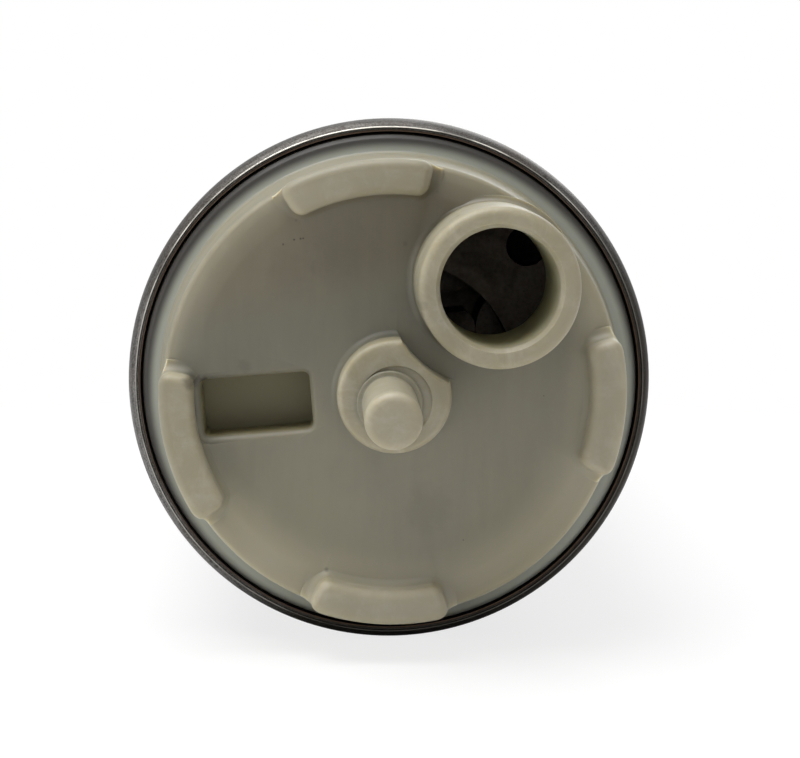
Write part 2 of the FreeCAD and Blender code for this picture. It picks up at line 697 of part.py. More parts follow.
def add_cap_inside(body):
    """Post under the peg, box under the pocket, and ribs from the post to the skirt."""
    sketch = sketch_on(body, "PostSketch", height="plate_face")
    add_circle(sketch, "0", "0", "post_radius")
    pad(body, "Post", sketch, "disc_underside - plate_face")

    sketch = sketch_on(body, "PocketBoxSketch", height="pocket_floor - pocket_wall")
    add_turned_rectangle(sketch, "pocket_length + 2 * pocket_wall", "pocket_width + 2 * pocket_wall")
    pad(body, "PocketBox", sketch, "disc_underside - pocket_floor + pocket_wall")

    for step in range(3):
        angle = "rib_first + %d * rib_step" % step
        sketch = sketch_on(body, "RibSketch%d" % step, height="plate_face + rib_wall")
        along = "fit_radius - skirt_wall / 2"
        half = "rib_wall / 2"
        corners = []
        for radius, side in (("0", "-"), (along, "-"), (along, ""), ("0", "")):
            across = "(%s) * cos(%s) - %s%s * sin(%s)" % (radius, angle, side, half, angle)
            up = "(%s) * sin(%s) + %s%s * cos(%s)" % (radius, angle, side, half, angle)
            corners.append((across, up))
        add_outline(sketch, corners)
        pad(body, "Rib%d" % step, sketch, "disc_underside - plate_face - rib_wall")


def is_soft_edge(edge):
    """Edges of the boss, the spigot and the peg that the mould leaves soft."""
    disc = size("disc_height")
    boss = disc + size("boss_height")
    if lies_at(edge, boss) and is_ring(edge, size("boss_x"), size("boss_y"), size("boss_radius")):
        return True
    if lies_at(edge, size("spigot_top")):
        rings = (size("spigot_radius"), size("spigot_bore_radius"))
        return any(is_ring(edge, size("spigot_x"), size("spigot_y"), radius) for radius in rings)
    return lies_at(edge, disc + size("peg_height"))


# Pumping pack

def make_port(name, low, depth, turn):
    """A kidney port: the slice between the outer rotor's roots and the axis."""
    disc = cylinder(name + "Disc", "root_radius - run_fit", low, depth, "offset_x", "offset_y")
    slice_ = cylinder(name + "Slice", "root_radius * 2", low, depth, turn=turn, span="port_span")
    sector = common(name + "Sector", disc, slice_)
    core = cylinder(name + "Core", "port_inner_radius", low, depth)
    return cut(name, sector, core)


def make_screw_bars(name, radius, low, length):
    """A round bar at the place of each of the pack's screws."""
    bars = []
    for step in range(int(size("screw_count"))):
        across, up = polar("screw_circle", "screw_angle + %d * 360 / screw_count" % step)
        bars.append(cylinder("%s%d" % (name, step), radius, low, length, across, up))
    return fuse(name, bars)


def drill_screw_holes(name, low, thickness):
    """Cutters for the screws' holes through a plate."""
    start = low + " - overshoot"
    return make_screw_bars(name, "screw_radius + slip_fit", start, thickness + " + 2 * overshoot")


def make_inlet_port_plate():
    """Sintered plate under the cap, with the suction port and a blind pressure port."""
    body = new_body("InletPlateForm")
    spin(body, "InletPlateTurned", [
        ("0", "plate_face"),
        ("fit_radius", "plate_face"),
        ("fit_radius", "cam_face"),
        ("end_bush_radius", "cam_face"),
        ("end_bush_radius", "cam_face + journal_length"),
        ("0", "cam_face + journal_length"),
    ])
    low = "cam_face - overshoot"
    suction = make_port("SuctionPort", low, "inlet_plate + 2 * overshoot", "suction_angle")
    shadow = make_port("PressureShadow", low, "port_shadow + overshoot", "pressure_angle")
    holes = drill_screw_holes("InletPlateHoles", "cam_face", "inlet_plate")
    plate = cut("InletPlate", body, fuse("InletPlateCuts", [suction, shadow, holes]))
    return finish(plate, "inlet_port_plate")


def make_cam_ring():
    """Eccentric ring that the outer rotor turns in."""
    body = new_body("CamRingForm")
    sketch = sketch_on(body, "CamRingSketch", height="outlet_plate_face")
    add_circle(sketch, "0", "0", "fit_radius")
    add_circle(sketch, "offset_x", "offset_y", "outer_rotor_radius + run_fit")
    pad(body, "CamRingPad", sketch, "cam_plate")
    holes = drill_screw_holes("CamRingHoles", "outlet_plate_face", "cam_plate")
    return finish(cut("CamRing", body, holes), "cam_ring")


def make_outer_rotor():
    """Ring with one round tooth more than the inner rotor has lobes."""
    low = "outlet_plate_face + side_gap"
    ring = cylinder("OuterRotorRing", "outer_rotor_radius", low, "rotor_width", "offset_x", "offset_y")
    room = drill("OuterRotorRoom", "root_radius", low, "rotor_width", "offset_x", "offset_y")
    teeth = []
    for step in range(int(size("tooth_count"))):
        angle = "offset_angle + 180 + rotor_turn * lobe_count / tooth_count + %d * 360 / tooth_count" % step
        across, up = polar("lobe_pitch", angle)
        teeth.append(drill("OuterTooth%d" % step, "lobe_round", low + " - overshoot",
                           "rotor_width + 2 * overshoot", "offset_x + " + across, "offset_y + " + up))
    hollow = cut("OuterRotorHollow", room, fuse("OuterTeeth", teeth))
    return finish(cut("OuterRotor", ring, hollow), "outer_rotor")


def lobe_point(turn):
    """A point of the inner rotor's edge: a curve that the round teeth roll on."""
    pitch = size("lobe_pitch")
    tooth = size("lobe_round") + size("run_fit")
    offset = size("lobe_offset")
    teeth = size("tooth_count")
    swing = (1 - teeth) * turn
    lean = math.atan2(math.sin(swing), pitch / (offset * teeth) - math.cos(swing))
    across = pitch * math.cos(turn) - tooth * math.cos(turn + lean) - offset * math.cos(teeth * turn)
    up = tooth * math.sin(turn + lean) + offset * math.sin(teeth * turn) - pitch * math.sin(turn)
    return Vector(across, up, 0)


def make_inner_rotor():
    """Lobed rotor on the shaft, with a hole for each dog of the coupling."""
    arcs = int(size("lobe_count")) * ARCS_PER_LOBE
    step = 2 * math.pi / arcs
    edge = [Part.Arc(lobe_point(number * step), lobe_point((number + 0.5) * step),
                     lobe_point((number + 1) % arcs * step)).toShape() for number in range(arcs)]
    wheel = Part.Face(Part.Wire(edge)).extrude(Vector(0, 0, size("rotor_width")))
    turn = size("offset_angle") + 180 + size("rotor_turn")
    wheel.rotate(Vector(0, 0, 0), Vector(0, 0, 1), turn)
    wheel.translate(Vector(0, 0, size("outlet_plate_face") + size("side_gap")))
    form = doc.addObject("Part::Feature", "InnerRotorForm")
    form.Shape = wheel
    low = "outlet_plate_face + side_gap"
    bore = drill("InnerRotorBore", "shaft_radius", low, "rotor_width")
    start = low + " - overshoot"
    sockets = make_dogs("RotorSocket", "dog_radius + slip_fit", start, "rotor_width + 2 * overshoot")
    return finish(cut("InnerRotor", form, fuse("InnerRotorHoles", [bore] + sockets)), "inner_rotor")


def make_dogs(name, radius, low, length):
    """Round dogs, or the sockets for them, about the shaft."""
    dogs = []
    for step in range(int(size("dog_count"))):
        across, up = polar("dog_circle", "rotor_turn + %d * 360 / dog_count" % step)
        dogs.append(cylinder("%s%d" % (name, step), radius, low, length, across, up))
    return dogs


def make_outlet_port_plate():
    """Plate behind the rotors, with the pressure port and the hub of the middle bush."""
    body = new_body("OutletPlateForm")
    recess = "coupling_radius + free_gap"
    floor = "outlet_plate_face - coupling_disc - seat_gap"
    spin(body, "OutletPlateTurned", [
        (recess, "outlet_plate_face"),
        ("fit_radius", "outlet_plate_face"),
        ("fit_radius", "pack_back"),
        ("bush_radius + hub_wall", "pack_back"),
        ("bush_radius + hub_wall", "hub_back"),
        ("bush_radius", "hub_back"),
        ("bush_radius", floor),
        (recess, floor),
    ])
    low = "pack_back - overshoot"
    pressure = make_port("PressurePort", low, "outlet_plate + 2 * overshoot", "pressure_angle")
    floor = "outlet_plate_face - port_shadow"
    shadow = make_port("SuctionShadow", floor, "port_shadow + overshoot", "suction_angle")
    holes = drill_screw_holes("OutletPlateHoles", "pack_back", "outlet_plate")
    plate = cut("OutletPlate", body, fuse("OutletPlateCuts", [pressure, shadow, holes]))
    return finish(plate, "outlet_port_plate")


def make_pack_screws():
    """The screws that hold the pack together, heads on the motor's side."""
    length = "plate_face - screw_recess - pack_back"
    shanks = make_screw_bars("ScrewShanks", "screw_radius", "pack_back", length)
    heads = make_screw_bars("ScrewHeads", "screw_head_radius", "pack_back - screw_head", "screw_head")
    return finish(fuse("Screws", [shanks, heads]), "pump_screws")


def make_bush(label, inner, outer, low, length):
    """A plain bearing bush."""
    body = new_body("Bush_" + label)
    sketch = sketch_on(body, "BushSketch_" + label, height=low)
    add_circle(sketch, "0", "0", outer)
    add_circle(sketch, "0", "0", inner)
    pad(body, "BushPad_" + label, sketch, length)
    return finish(body, label)


# Armature

def make_shaft():
    """Ground shaft with a thinner journal at each end."""
    body = new_body("ArmatureShaft")
    front = "cam_face + journal_length - slip_fit"
    shoulder = "outlet_plate_face + side_gap + rotor_width"
    back_shoulder = "holder_face + side_gap"
    back = "holder_face - journal_length * 2"
    spin(body, "ShaftTurned", [
        ("0", front),
        ("journal_radius", front),
        ("journal_radius", shoulder),
        ("shaft_radius", shoulder),
        ("shaft_radius", back_shoulder),
        ("journal_radius", back_shoulder),
        ("journal_radius", back),
        ("0", back),
    ])
    return finish(body, "armature_shaft")


def make_coupling():
    """Disc on the shaft whose dogs drive the inner rotor."""
    low = "outlet_plate_face - coupling_disc"
    disc = cylinder("CouplingDisc", "coupling_radius", low, "coupling_disc")
    dogs = make_dogs("CouplingDog", "dog_radius", "outlet_plate_face - coupling_disc / 2",
                     "coupling_disc / 2 + dog_reach")
    bore = drill("CouplingBore", "shaft_radius", low, "coupling_disc")
    return finish(cut("Coupling", fuse("CouplingForm", [disc] + dogs), bore), "drive_coupling")


def make_core():
    """Stack of steel sheets with round-bottomed slots."""
    body = new_body("ArmatureCore")
    sketch = sketch_on(body, "CoreSketch", height="core_back")
    add_circle(sketch, "0", "0", "core_radius")
    add_circle(sketch, "0", "0", "shaft_radius")
    pad(body, "CorePad", sketch, "core_length")
    sketch = sketch_on(body, "SlotSketch", height="core_face")
    add_circle(sketch, "slot_circle", "0", "slot_radius")
    slot = pocket(body, "Slot", sketch, "core_length")
    repeat(body, "Slots", slot, sketch, "slot_count")
    mouths = []
    for step in range(int(size("slot_count"))):
        mouth = doc.addObject("Part::Box", "SlotMouth%d" % step)
        bind(mouth, "Length", "core_radius + overshoot - slot_circle")
        bind(mouth, "Width", "slot_mouth")
        bind(mouth, "Height", "core_length + 2 * overshoot")
        angle = "%d * 360 / slot_count" % step
        mouth.Placement = Placement(Vector(0, 0, 0), Rotation(Vector(0, 0, 1), 0))
        bind(mouth, "Placement.Rotation.Angle", angle)
        bind(mouth, "Placement.Base.x", "slot_circle * cos(%s) + slot_mouth / 2 * sin(%s)" % (angle, angle))
        bind(mouth, "Placement.Base.y", "slot_circle * sin(%s) - slot_mouth / 2 * cos(%s)" % (angle, angle))
        bind(mouth, "Placement.Base.z", "core_back - overshoot")
        mouths.append(mouth)
    return finish(cut("Core", body, fuse("SlotMouths", mouths)), "armature_core")


def make_windings():
    """Copper coils: a bundle in each slot, joined by the end turns."""
    inner = "shaft_radius + coil_gap * 2"
    rings = []
    for name, low in (("Inlet", "core_face"), ("Outlet", "coil_back")):
        body = new_body("EndTurns" + name)
        near = low if name == "Inlet" else low + " + coil_overhang"
        far = low + " + coil_overhang" if name == "Inlet" else low
        spin(body, "EndTurnsTurned" + name, [
            (inner, near),
            ("coil_outer_radius", near),
            ("coil_outer_radius - coil_overhang / 2", far),
            (inner, far),
        ])
        rings.append(body)
    bundles = []
    for step in range(int(size("slot_count"))):
        across, up = polar("slot_circle", "%d * 360 / slot_count" % step)
        bundles.append(cylinder("Bundle%d" % step, "slot_radius - coil_gap", "core_back - coil_gap",
                                "core_length + coil_gap * 2", across, up))
    return finish(fuse("Windings", rings + bundles), "armature_windings")


def make_commutator():
    """Carbon disc parted into bars, that the brushes press on."""
    body = new_body("Commutator")
    spin(body, "CommutatorTurned", [
        ("shaft_radius", "commutator_face"),
        ("commutator_radius", "commutator_face"),
        ("commutator_radius", "commutator_back"),
        ("shaft_radius + commutator_rebate_wall", "commutator_back"),
        ("shaft_radius + commutator_rebate_wall", "commutator_back + commutator_rebate"),
        ("shaft_radius", "commutator_back + commutator_rebate"),
    ])
    sketch = sketch_on(body, "SlitSketch", height="commutator_back + commutator_slit_depth")
    start = "shaft_radius + commutator_rebate_wall / 2"
    end = "commutator_radius + overshoot"
    centre = "(%s + %s) / 2" % (start, end)
    add_rectangle(sketch, centre, "0", "%s - (%s)" % (end, start), "commutator_slit")
    slit = pocket(body, "Slit", sketch, "commutator_slit_depth + overshoot")
    repeat(body, "Slits", slit, sketch, "slot_count")
    return finish(body, "commutator")


# Field

def make_flux_ring():
    """Steel ring that carries the magnets and keeps the pack and the holder apart."""
    body = new_body("FluxRing")
    step = "pack_back - screw_head - free_gap"
    spin(body, "FluxRingTurned", [
        ("head_room_radius", "pack_back"),
        ("fit_radius", "pack_back"),
        ("fit_radius", "holder_face"),
        ("magnet_outer_radius", "holder_face"),
        ("magnet_outer_radius", step),
        ("head_room_radius", step),
    ])
    return finish(body, "flux_ring")


def make_magnet(label, middle):
    """One curved ferrite magnet."""
    low = "magnet_face - magnet_length"
    turn = "%s - magnet_span / 2" % middle
    block = cylinder("MagnetBlock_" + label, "magnet_outer_radius", low, "magnet_length",
                     turn=turn, span="magnet_span")
    room = drill("MagnetRoom_" + label, "magnet_inner_radius", low, "magnet_length")
    return finish(cut("Magnet_" + label, block, room), label)


def make_magnet_clips():
    """Two spring-steel channels that push the magnets apart."""
    low = "magnet_face - magnet_length / 2 - clip_length / 2"
    gap = "(90 - magnet_span / 2)"
    outer = "magnet_outer_radius"
    back = cylinder("ClipBack", outer, low, "clip_length", turn="-" + gap, span="2 * " + gap)
    hollow = drill("ClipHollow", outer + " - clip_wall", low, "clip_length")
    strip = cut("ClipStrip", back, hollow)
    ears = []
    for name, turn in (("Low", "-" + gap), ("High", gap + " - clip_ear")):
        ear = cylinder("ClipEar" + name, outer, low, "clip_length", turn=turn, span="clip_ear")
        room = drill("ClipEarRoom" + name, "magnet_inner_radius + clip_wall", low, "clip_length")
        ears.append(cut("ClipEarCut" + name, ear, room))
    clip = fuse("ClipOne", [strip] + ears)
    other = doc.addObject("Part::Mirroring", "ClipTwo")
    other.Source = clip
    other.Normal = Vector(1, 0, 0)
    return finish(fuse("Clips", [clip, other]), "magnet_clips")


# Brush gear

def make_brush_holder():
    """Moulded end plate: top bush, brush tunnels and fuel passages."""
    body = new_body("BrushHolderForm")
    spin(body, "HolderTurned", [
        ("end_bush_radius", "holder_face"),
        ("fit_radius", "holder_face"),
        ("fit_radius", "holder_back"),
        ("0", "holder_back"),
        ("0", "holder_face - journal_length * 2 - free_gap"),
        ("end_bush_radius", "holder_face - journal_length * 2 - free_gap"),
    ])
    sketch = sketch_on(body, "PassageSketch", height="holder_face")
    passage_x, passage_y = polar("flow_circle", "30")
    add_circle(sketch, passage_x, passage_y, "flow_radius")
    passage = pocket(body, "Passage", sketch, "holder_length")
    repeat(body, "Passages", passage, sketch, "flow_count")
    tunnels = []
    for side, sign in (("Left", "-"), ("Right", "")):
        tunnels.append(box_about("Tunnel" + side, sign + "brush_circle", "0", "holder_back - overshoot",
                                 "brush_width + 2 * slip_fit", "brush_breadth + 2 * slip_fit",
                                 "holder_length + 2 * overshoot"))
    return finish(cut("BrushHolder", body, fuse("Tunnels", tunnels)), "brush_holder")


def box_about(name, across, up, low, width, depth, height):
    """A block centred on a point of the plan, standing on a height."""
    block = doc.addObject("Part::Box", name)
    bind(block, "Length", width)
    bind(block, "Width", depth)
    bind(block, "Height", height)
    bind(block, "Placement.Base.x", "%s - (%s) / 2" % (across, width))
    bind(block, "Placement.Base.y", "%s - (%s) / 2" % (up, depth))
    bind(block, "Placement.Base.z", low)
    return block


def make_brush(side, sign):
    """Square carbon brush."""
    body = new_body("Brush" + side)
    sketch = sketch_on(body, "BrushSketch" + side, height="brush_back")
    add_rectangle(sketch, sign + "brush_circle", "0", "brush_width", "brush_breadth")
    pad(body, "BrushPad" + side, sketch, "brush_length")
    return finish(body, "brush_" + side.lower())


def make_lead(side, sign):
    """Copper lead from the back of a brush, through its spring and strip."""
    body = new_body("Lead" + side)
    sketch = sketch_on(body, "LeadSketch" + side, height="strip_back - lead_end")
    add_circle(sketch, sign + "brush_circle", "0", "lead_radius")
    pad(body, "LeadPad" + side, sketch, "brush_back - strip_back + lead_end")
    return finish(body, "brush_lead_" + side.lower())


def make_terminal(side, sign):
    """Brass strip over a brush's spring, and the blade that comes out in the plug."""
    blade_x = "plug_x %s blade_pitch / 2" % ("-" if sign else "+")
    body = new_body("Terminal" + side)
    sketch = sketch_on(body, "StripSketch" + side, height="strip_back")
    centre = sign + "brush_circle"
    half = "strip_width / 2"
    foot = "blade_width / 2"
    level = "plug_y - terminal_wall / 2"
    add_outline(sketch, [
        ("%s - %s" % (centre, half), half),
        ("%s - %s" % (centre, half), "-" + half),
        ("%s - %s" % (blade_x, foot), level),
        ("%s + %s" % (blade_x, foot), level),
        ("%s + %s" % (centre, half), "-" + half),
        ("%s + %s" % (centre, half), half),
    ])
    pad(body, "Strip" + side, sketch, "terminal_wall")
    sketch = sketch_on(body, "BladeSketch" + side, height="blade_back")
    add_rectangle(sketch, blade_x, "plug_y", "blade_width", "terminal_wall")
    pad(body, "Blade" + side, sketch, "strip_back + terminal_wall - blade_back")
    sketch = sketch_on(body, "LeadHoleSketch" + side, height="strip_back + terminal_wall")
    add_circle(sketch, centre, "0", "lead_radius + slip_fit * 2")
    pocket(body, "LeadHole" + side, sketch, "terminal_wall")
    return finish(body, "terminal_" + side.lower())


def make_spring(label, across, up, front, back, radius):
    """A coil spring between two heights, worked out turn by turn."""
    wire = size("spring_wire")
    mean = size(radius)
    low = back + wire / 2
    rise = front - back - wire
    helix = Part.makeHelix(rise / size("spring_turns"), rise, mean)
    helix.translate(Vector(across, up, low))
    ring = [2 * math.pi * side / WIRE_SIDES for side in range(WIRE_SIDES + 1)]
    section = Part.makePolygon([Vector(across + mean + wire / 2 * math.cos(turn), up,
                                       low + wire / 2 * math.sin(turn)) for turn in ring])
    coil = Part.Wire(helix).makePipeShell([section], True, True)
    form = doc.addObject("Part::Feature", "Spring_" + label)
    form.Shape = coil
    return finish(form, label)


# Outlet end

def make_outlet_cap():
    """Moulded cap: barbed nipple, relief valve tower, plug shroud and the rooms behind them."""
    body = new_body("OutletCapForm")
    inner = "fit_radius - skirt_wall"
    spin(body, "OutletForm", [
        ("0", "crown_face"),
        ("crown_radius", "crown_face"),
        ("crown_radius", "shell_back + lip_height + slip_fit"),
        ("seat_radius", "shell_back + lip_height + slip_fit"),
        ("seat_radius", "shell_back + seat_depth"),
        ("fit_radius", "shell_back + seat_depth"),
        ("fit_radius", "crown_front"),
        (inner, "crown_front"),
        (inner, "crown_underside"),
        ("0", "crown_underside"),
    ])
    low = "outlet_seal_z - groove_width / 2"
    high = "outlet_seal_z + groove_width / 2"
    rim = "fit_radius + overshoot"
    groove(body, "OutletGroove", [("groove_radius", low), (rim, low), (rim, high), ("groove_radius", high)])
    for name, across, up, radius, front in (
            ("CheckRoom", "nipple_x", "nipple_y", "check_chamber_radius + skirt_wall / 2", "check_front"),
            ("ReliefRoom", "relief_x", "relief_y", "relief_boss_radius", "relief_front")):
        sketch = sketch_on(body, name + "Sketch", height="crown_underside")
        add_circle(sketch, across, up, radius)
        pad(body, name, sketch, front + " - crown_underside")

    sketch = sketch_on(body, "NippleBaseSketch", height="nipple_base_back")
    add_circle(sketch, "nipple_x", "nipple_y", "nipple_base_radius")
    pad(body, "NippleBase", sketch, "nipple_base_height + crown_wall")
    spin(body, "Nipple", nipple_corners(), "nipple_x", "nipple_y")

    sketch = sketch_on(body, "TowerSketch", height="relief_back")
    add_circle(sketch, "relief_x", "relief_y", "relief_boss_radius")
    pad(body, "Tower", sketch, "relief_boss_height + crown_wall")

    sketch = sketch_on(body, "ShroudSketch", height="plug_back")
    add_rectangle(sketch, "plug_x", "plug_y", "plug_length", "plug_width")
    shroud = pad(body, "Shroud", sketch, "plug_height + crown_wall")
    corners = round_edges(body, "ShroudCorners", shroud, "plug_corner", is_shroud_corner)

    sketch = sketch_on(body, "LatchSketch", height="plug_back + latch_height / 2")
    add_rectangle(sketch, "plug_x", "plug_y - plug_width / 2 - latch_depth / 2 + plug_wall / 4",
                  "latch_width", "latch_depth + plug_wall / 2")
    pad(body, "Latch", sketch, "latch_height")

    nipple = ("nipple_x", "nipple_y")
    relief = ("relief_x", "relief_y")
    rooms = [
        drill("NippleBore", "nipple_bore_radius", "nipple_back", "nipple_length", *nipple),
        cylinder("CheckChamber", "check_chamber_radius", "guide_back",
                 "check_front - guide_back + overshoot", *nipple),
        drill("ReliefMouth", "relief_seat_radius", "relief_seat", "relief_lip", *relief),
        cylinder("ReliefChamber", "relief_chamber_radius", "relief_back - overshoot",
                 "relief_seat - relief_back + overshoot", *relief),
        box_about("PlugRoom", "plug_x", "plug_y", "plug_back - overshoot", "plug_length - 2 * plug_wall",
                  "plug_width - 2 * plug_wall", "plug_height + overshoot"),
    ]
    for side, sign in (("Left", "-"), ("Right", "+")):
        rooms.append(box_about("BladeSlot" + side, "plug_x %s blade_pitch / 2" % sign, "plug_y",
                               "crown_face - overshoot", "blade_width + 2 * slip_fit",
                               "terminal_wall + 2 * slip_fit", "crown_wall + 2 * overshoot"))
    cap = cut("OutletCap", body, fuse("OutletRooms", rooms))
    return finish(cap, "outlet_cap")


def nipple_corners():
    """The nipple's outline, from its foot to the tip, with a barb to each step."""
    corners = [("0", "nipple_base_back"), ("nipple_radius", "nipple_base_back")]
    for step in reversed(range(int(size("barb_count")))):
        root = "nipple_back + %d * barb_length" % (step + 1)
        tip = "nipple_back + %d * barb_length" % step
        corners.append(("nipple_radius", root))
        corners.append(("nipple_radius + barb_height", root))
        if step:
            corners.append(("nipple_radius", tip))
        else:
            corners.append(("nipple_radius - barb_height / 2", tip))
    corners.append(("0", "nipple_back"))
    return drop_repeats(corners)


def drop_repeats(corners):
    """Leaves out a corner that is the same as the one before it."""
    kept = []
    for corner in corners:
        if not kept or kept[-1] != corner:
            kept.append(corner)
    return kept


def is_shroud_corner(edge):
    """The four upright corners of the plug's shroud."""
    if not is_upright(edge):
        return False
    box = edge.BoundBox
    off_x = abs(abs(box.Center.x - size("plug_x")) - size("plug_length") / 2)
    off_y = abs(abs(box.Center.y - size("plug_y")) - size("plug_width") / 2)
    return off_x < 1e-3 and off_y < 1e-3


def make_outlet_seal():
    """Square-cut rubber ring in the groove of the outlet cap."""
    body = new_body("OutletSeal")
    low = "outlet_seal_z - seal_wire / 2"
    high = "outlet_seal_z + seal_wire / 2"
    inner = "seal_radius - seal_wire / 2"
    outer = "seal_radius + seal_wire / 2"
    spin(body, "OutletSealTurned", [(inner, low), (outer, low), (outer, high), (inner, high)])
    return finish(body, "outlet_seal")


def make_check_seat():
    """Brass ring that the poppet closes on."""
    body = new_body("CheckSeat")
    sketch = sketch_on(body, "CheckSeatSketch", height="check_seat_back")
    add_circle(sketch, "nipple_x", "nipple_y", "check_chamber_radius")
    add_circle(sketch, "nipple_x", "nipple_y", "check_seat_bore")
    pad(body, "CheckSeatPad", sketch, "check_seat_height")
    return finish(body, "check_seat")


def make_check_poppet():
    """Poppet: a flat head, a shoulder that stops it and a stem that slides in the guide."""
    body = new_body("CheckPoppet")
    spin(body, "PoppetTurned", [
        ("0", "check_head_face"),
        ("check_head_radius - poppet_bevel", "check_head_face"),
        ("check_head_radius", "check_head_face - poppet_bevel"),
        ("check_head_radius", "check_head_back"),
        ("check_shoulder_radius", "check_head_back"),
        ("check_shoulder_radius", "guide_front + check_lift"),
        ("check_stem_radius", "guide_front + check_lift"),
        ("check_stem_radius", "guide_back"),
        ("0", "guide_back"),
    ], "nipple_x", "nipple_y")
    return finish(body, "check_poppet")


def make_check_guide():
    """Disc with passages that guides the poppet's stem."""
    place = ("guide_back", "guide_height")
    disc = cylinder("GuideDisc", "check_chamber_radius", *place, "nipple_x", "nipple_y")
    holes = [drill("GuideBore", "check_stem_radius + slip_fit", *place, "nipple_x", "nipple_y")]
    for step in range(int(size("guide_hole_count"))):
        across, up = polar("guide_hole_circle", "%d * 360 / guide_hole_count" % step)
        holes.append(drill("GuideHole%d" % step, "guide_hole_radius", *place,
                           "nipple_x + " + across, "nipple_y + " + up))
    return finish(cut("Guide", disc, fuse("GuideHoles", holes)), "check_guide")


def make_relief_ball():
    """Steel ball that closes the relief valve's mouth."""
    body = new_body("ReliefBall")
    ball = body.newObject("PartDesign::AdditiveSphere", "ReliefSphere")
    plane = [item for item in body.Origin.OriginFeatures if item.Role == "XY_Plane"][0]
    ball.AttachmentSupport = [(plane, "")]
    ball.MapMode = "FlatFace"
    bind(ball, "Radius", "relief_ball_radius")
    bind(ball, "AttachmentOffset.Base.x", "relief_x")
    bind(ball, "AttachmentOffset.Base.y", "relief_y")
    bind(ball, "AttachmentOffset.Base.z", "relief_ball_z")
    return finish(body, "relief_ball")


def make_relief_plug():
    """Vented plug that closes the relief valve's tower."""
    place = ("relief_back", "relief_plug", "relief_x", "relief_y")
    disc = cylinder("ReliefPlugDisc", "relief_chamber_radius", *place)
    vent = drill("ReliefVent", "relief_vent_radius", *place)
    return finish(cut("ReliefPlug", disc, vent), "relief_plug")


def make_valve_springs():
    """Springs behind the poppet and the ball."""
    front = size("check_head_back") - size("side_gap")
    back = size("guide_front") + size("side_gap")
    make_spring("check_spring", size("nipple_x"), size("nipple_y"), front, back, "check_spring_radius")
    front = size("relief_ball_z") - size("relief_ball_radius")
    back = size("relief_plug_front") + size("side_gap")
    make_spring("relief_spring", size("relief_x"), size("relief_y"), front, back, "relief_spring_radius")


def make_bushes():
    """Plain bushes and thrust washers, from the inlet to the outlet."""
    journal = "journal_radius + run_fit"
    washer = "shaft_radius + slip_fit"
    end_length = "journal_length * 2"
    make_bush("inlet_bush", journal, "end_bush_radius", "cam_face", "journal_length - free_gap")
    make_bush("middle_bush", "shaft_radius + run_fit", "bush_radius", "hub_back", "hub_height")
    make_bush("thrust_washer_inlet", washer, "bush_radius", "hub_back - washer_thickness - side_gap",
              "washer_thickness")
    make_bush("thrust_washer_outlet", washer, "bush_radius", "holder_face + side_gap", "washer_thickness")
    make_bush("outlet_bush", journal, "end_bush_radius", "holder_face - " + end_length, end_length)


def make_brush_gear():
    """The brush, its lead, its spring and its terminal on each side."""
    for side, sign in (("Left", "-"), ("Right", "")):
        make_brush(side, sign)
        make_lead(side, sign)
        make_terminal(side, sign)
        across = size("brush_circle") * (-1 if sign else 1)
        front = size("brush_back") - size("side_gap")
        back = size("holder_back") + size("side_gap")
        make_spring("brush_spring_" + side.lower(), across, 0, front, back, "brush_spring_radius")


def make_all():
    """Builds every piece of the pump."""
    make_shell()
    make_inlet_cap()
    make_inlet_port_plate()
    make_cam_ring()
    make_outer_rotor()
    make_inner_rotor()
    make_outlet_port_plate()
    make_pack_screws()
    make_bushes()
    make_shaft()
    make_coupling()
    make_core()
    make_windings()
    make_commutator()
    make_flux_ring()
    make_magnet("magnet_upper", "90")
    make_magnet("magnet_lower", "270")
    make_magnet_clips()
    make_brush_holder()
    make_brush_gear()
    make_outlet_cap()
    make_outlet_seal()
    make_check_seat()
    make_check_poppet()
    make_check_guide()
    make_relief_ball()
    make_relief_plug()
    make_valve_springs()


def check_all():
    """Stops if any object failed or a finished piece has no sound solid."""
    for thing in doc.Objects:
        if "Invalid" in thing.State or "Error" in thing.State:
            raise RuntimeError("%s is in state %s" % (thing.Name, thing.State))
    for piece in FINISHED:
        if piece.Shape.isNull() or not piece.Shape.isValid() or not piece.Shape.Solids:
            raise RuntimeError("%s has no sound solid" % piece.Label)


def write_all():
    """Writes one file for each piece and prints its size."""
    os.makedirs("parts", exist_ok=True)
    for piece in FINISHED:
        piece.Shape.exportStep(os.path.join("parts", piece.Label + ".step"))
        print("%-22s solids %d volume %.2f" % (piece.Label, len(piece.Shape.Solids), piece.Shape.Volume))
    print("pieces", len(FINISHED))


fill_sheet()
make_all()
doc.recompute()
check_all()
write_all()
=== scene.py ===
"""Looks of an in-tank electric fuel pump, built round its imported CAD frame.

Pieces are modelled in millimetres in the pump's own frame, where +Z runs out of the inlet
end and Z = 0 is the shell's inlet lip, and are then laid into the row's frame in metres.
"""

import json
import logging
import math
from dataclasses import dataclass, field
from enum import Enum
from typing import Callable, Iterable, Optional, Sequence, Union

import bmesh
import bpy
from mathutils import Matrix, Vector


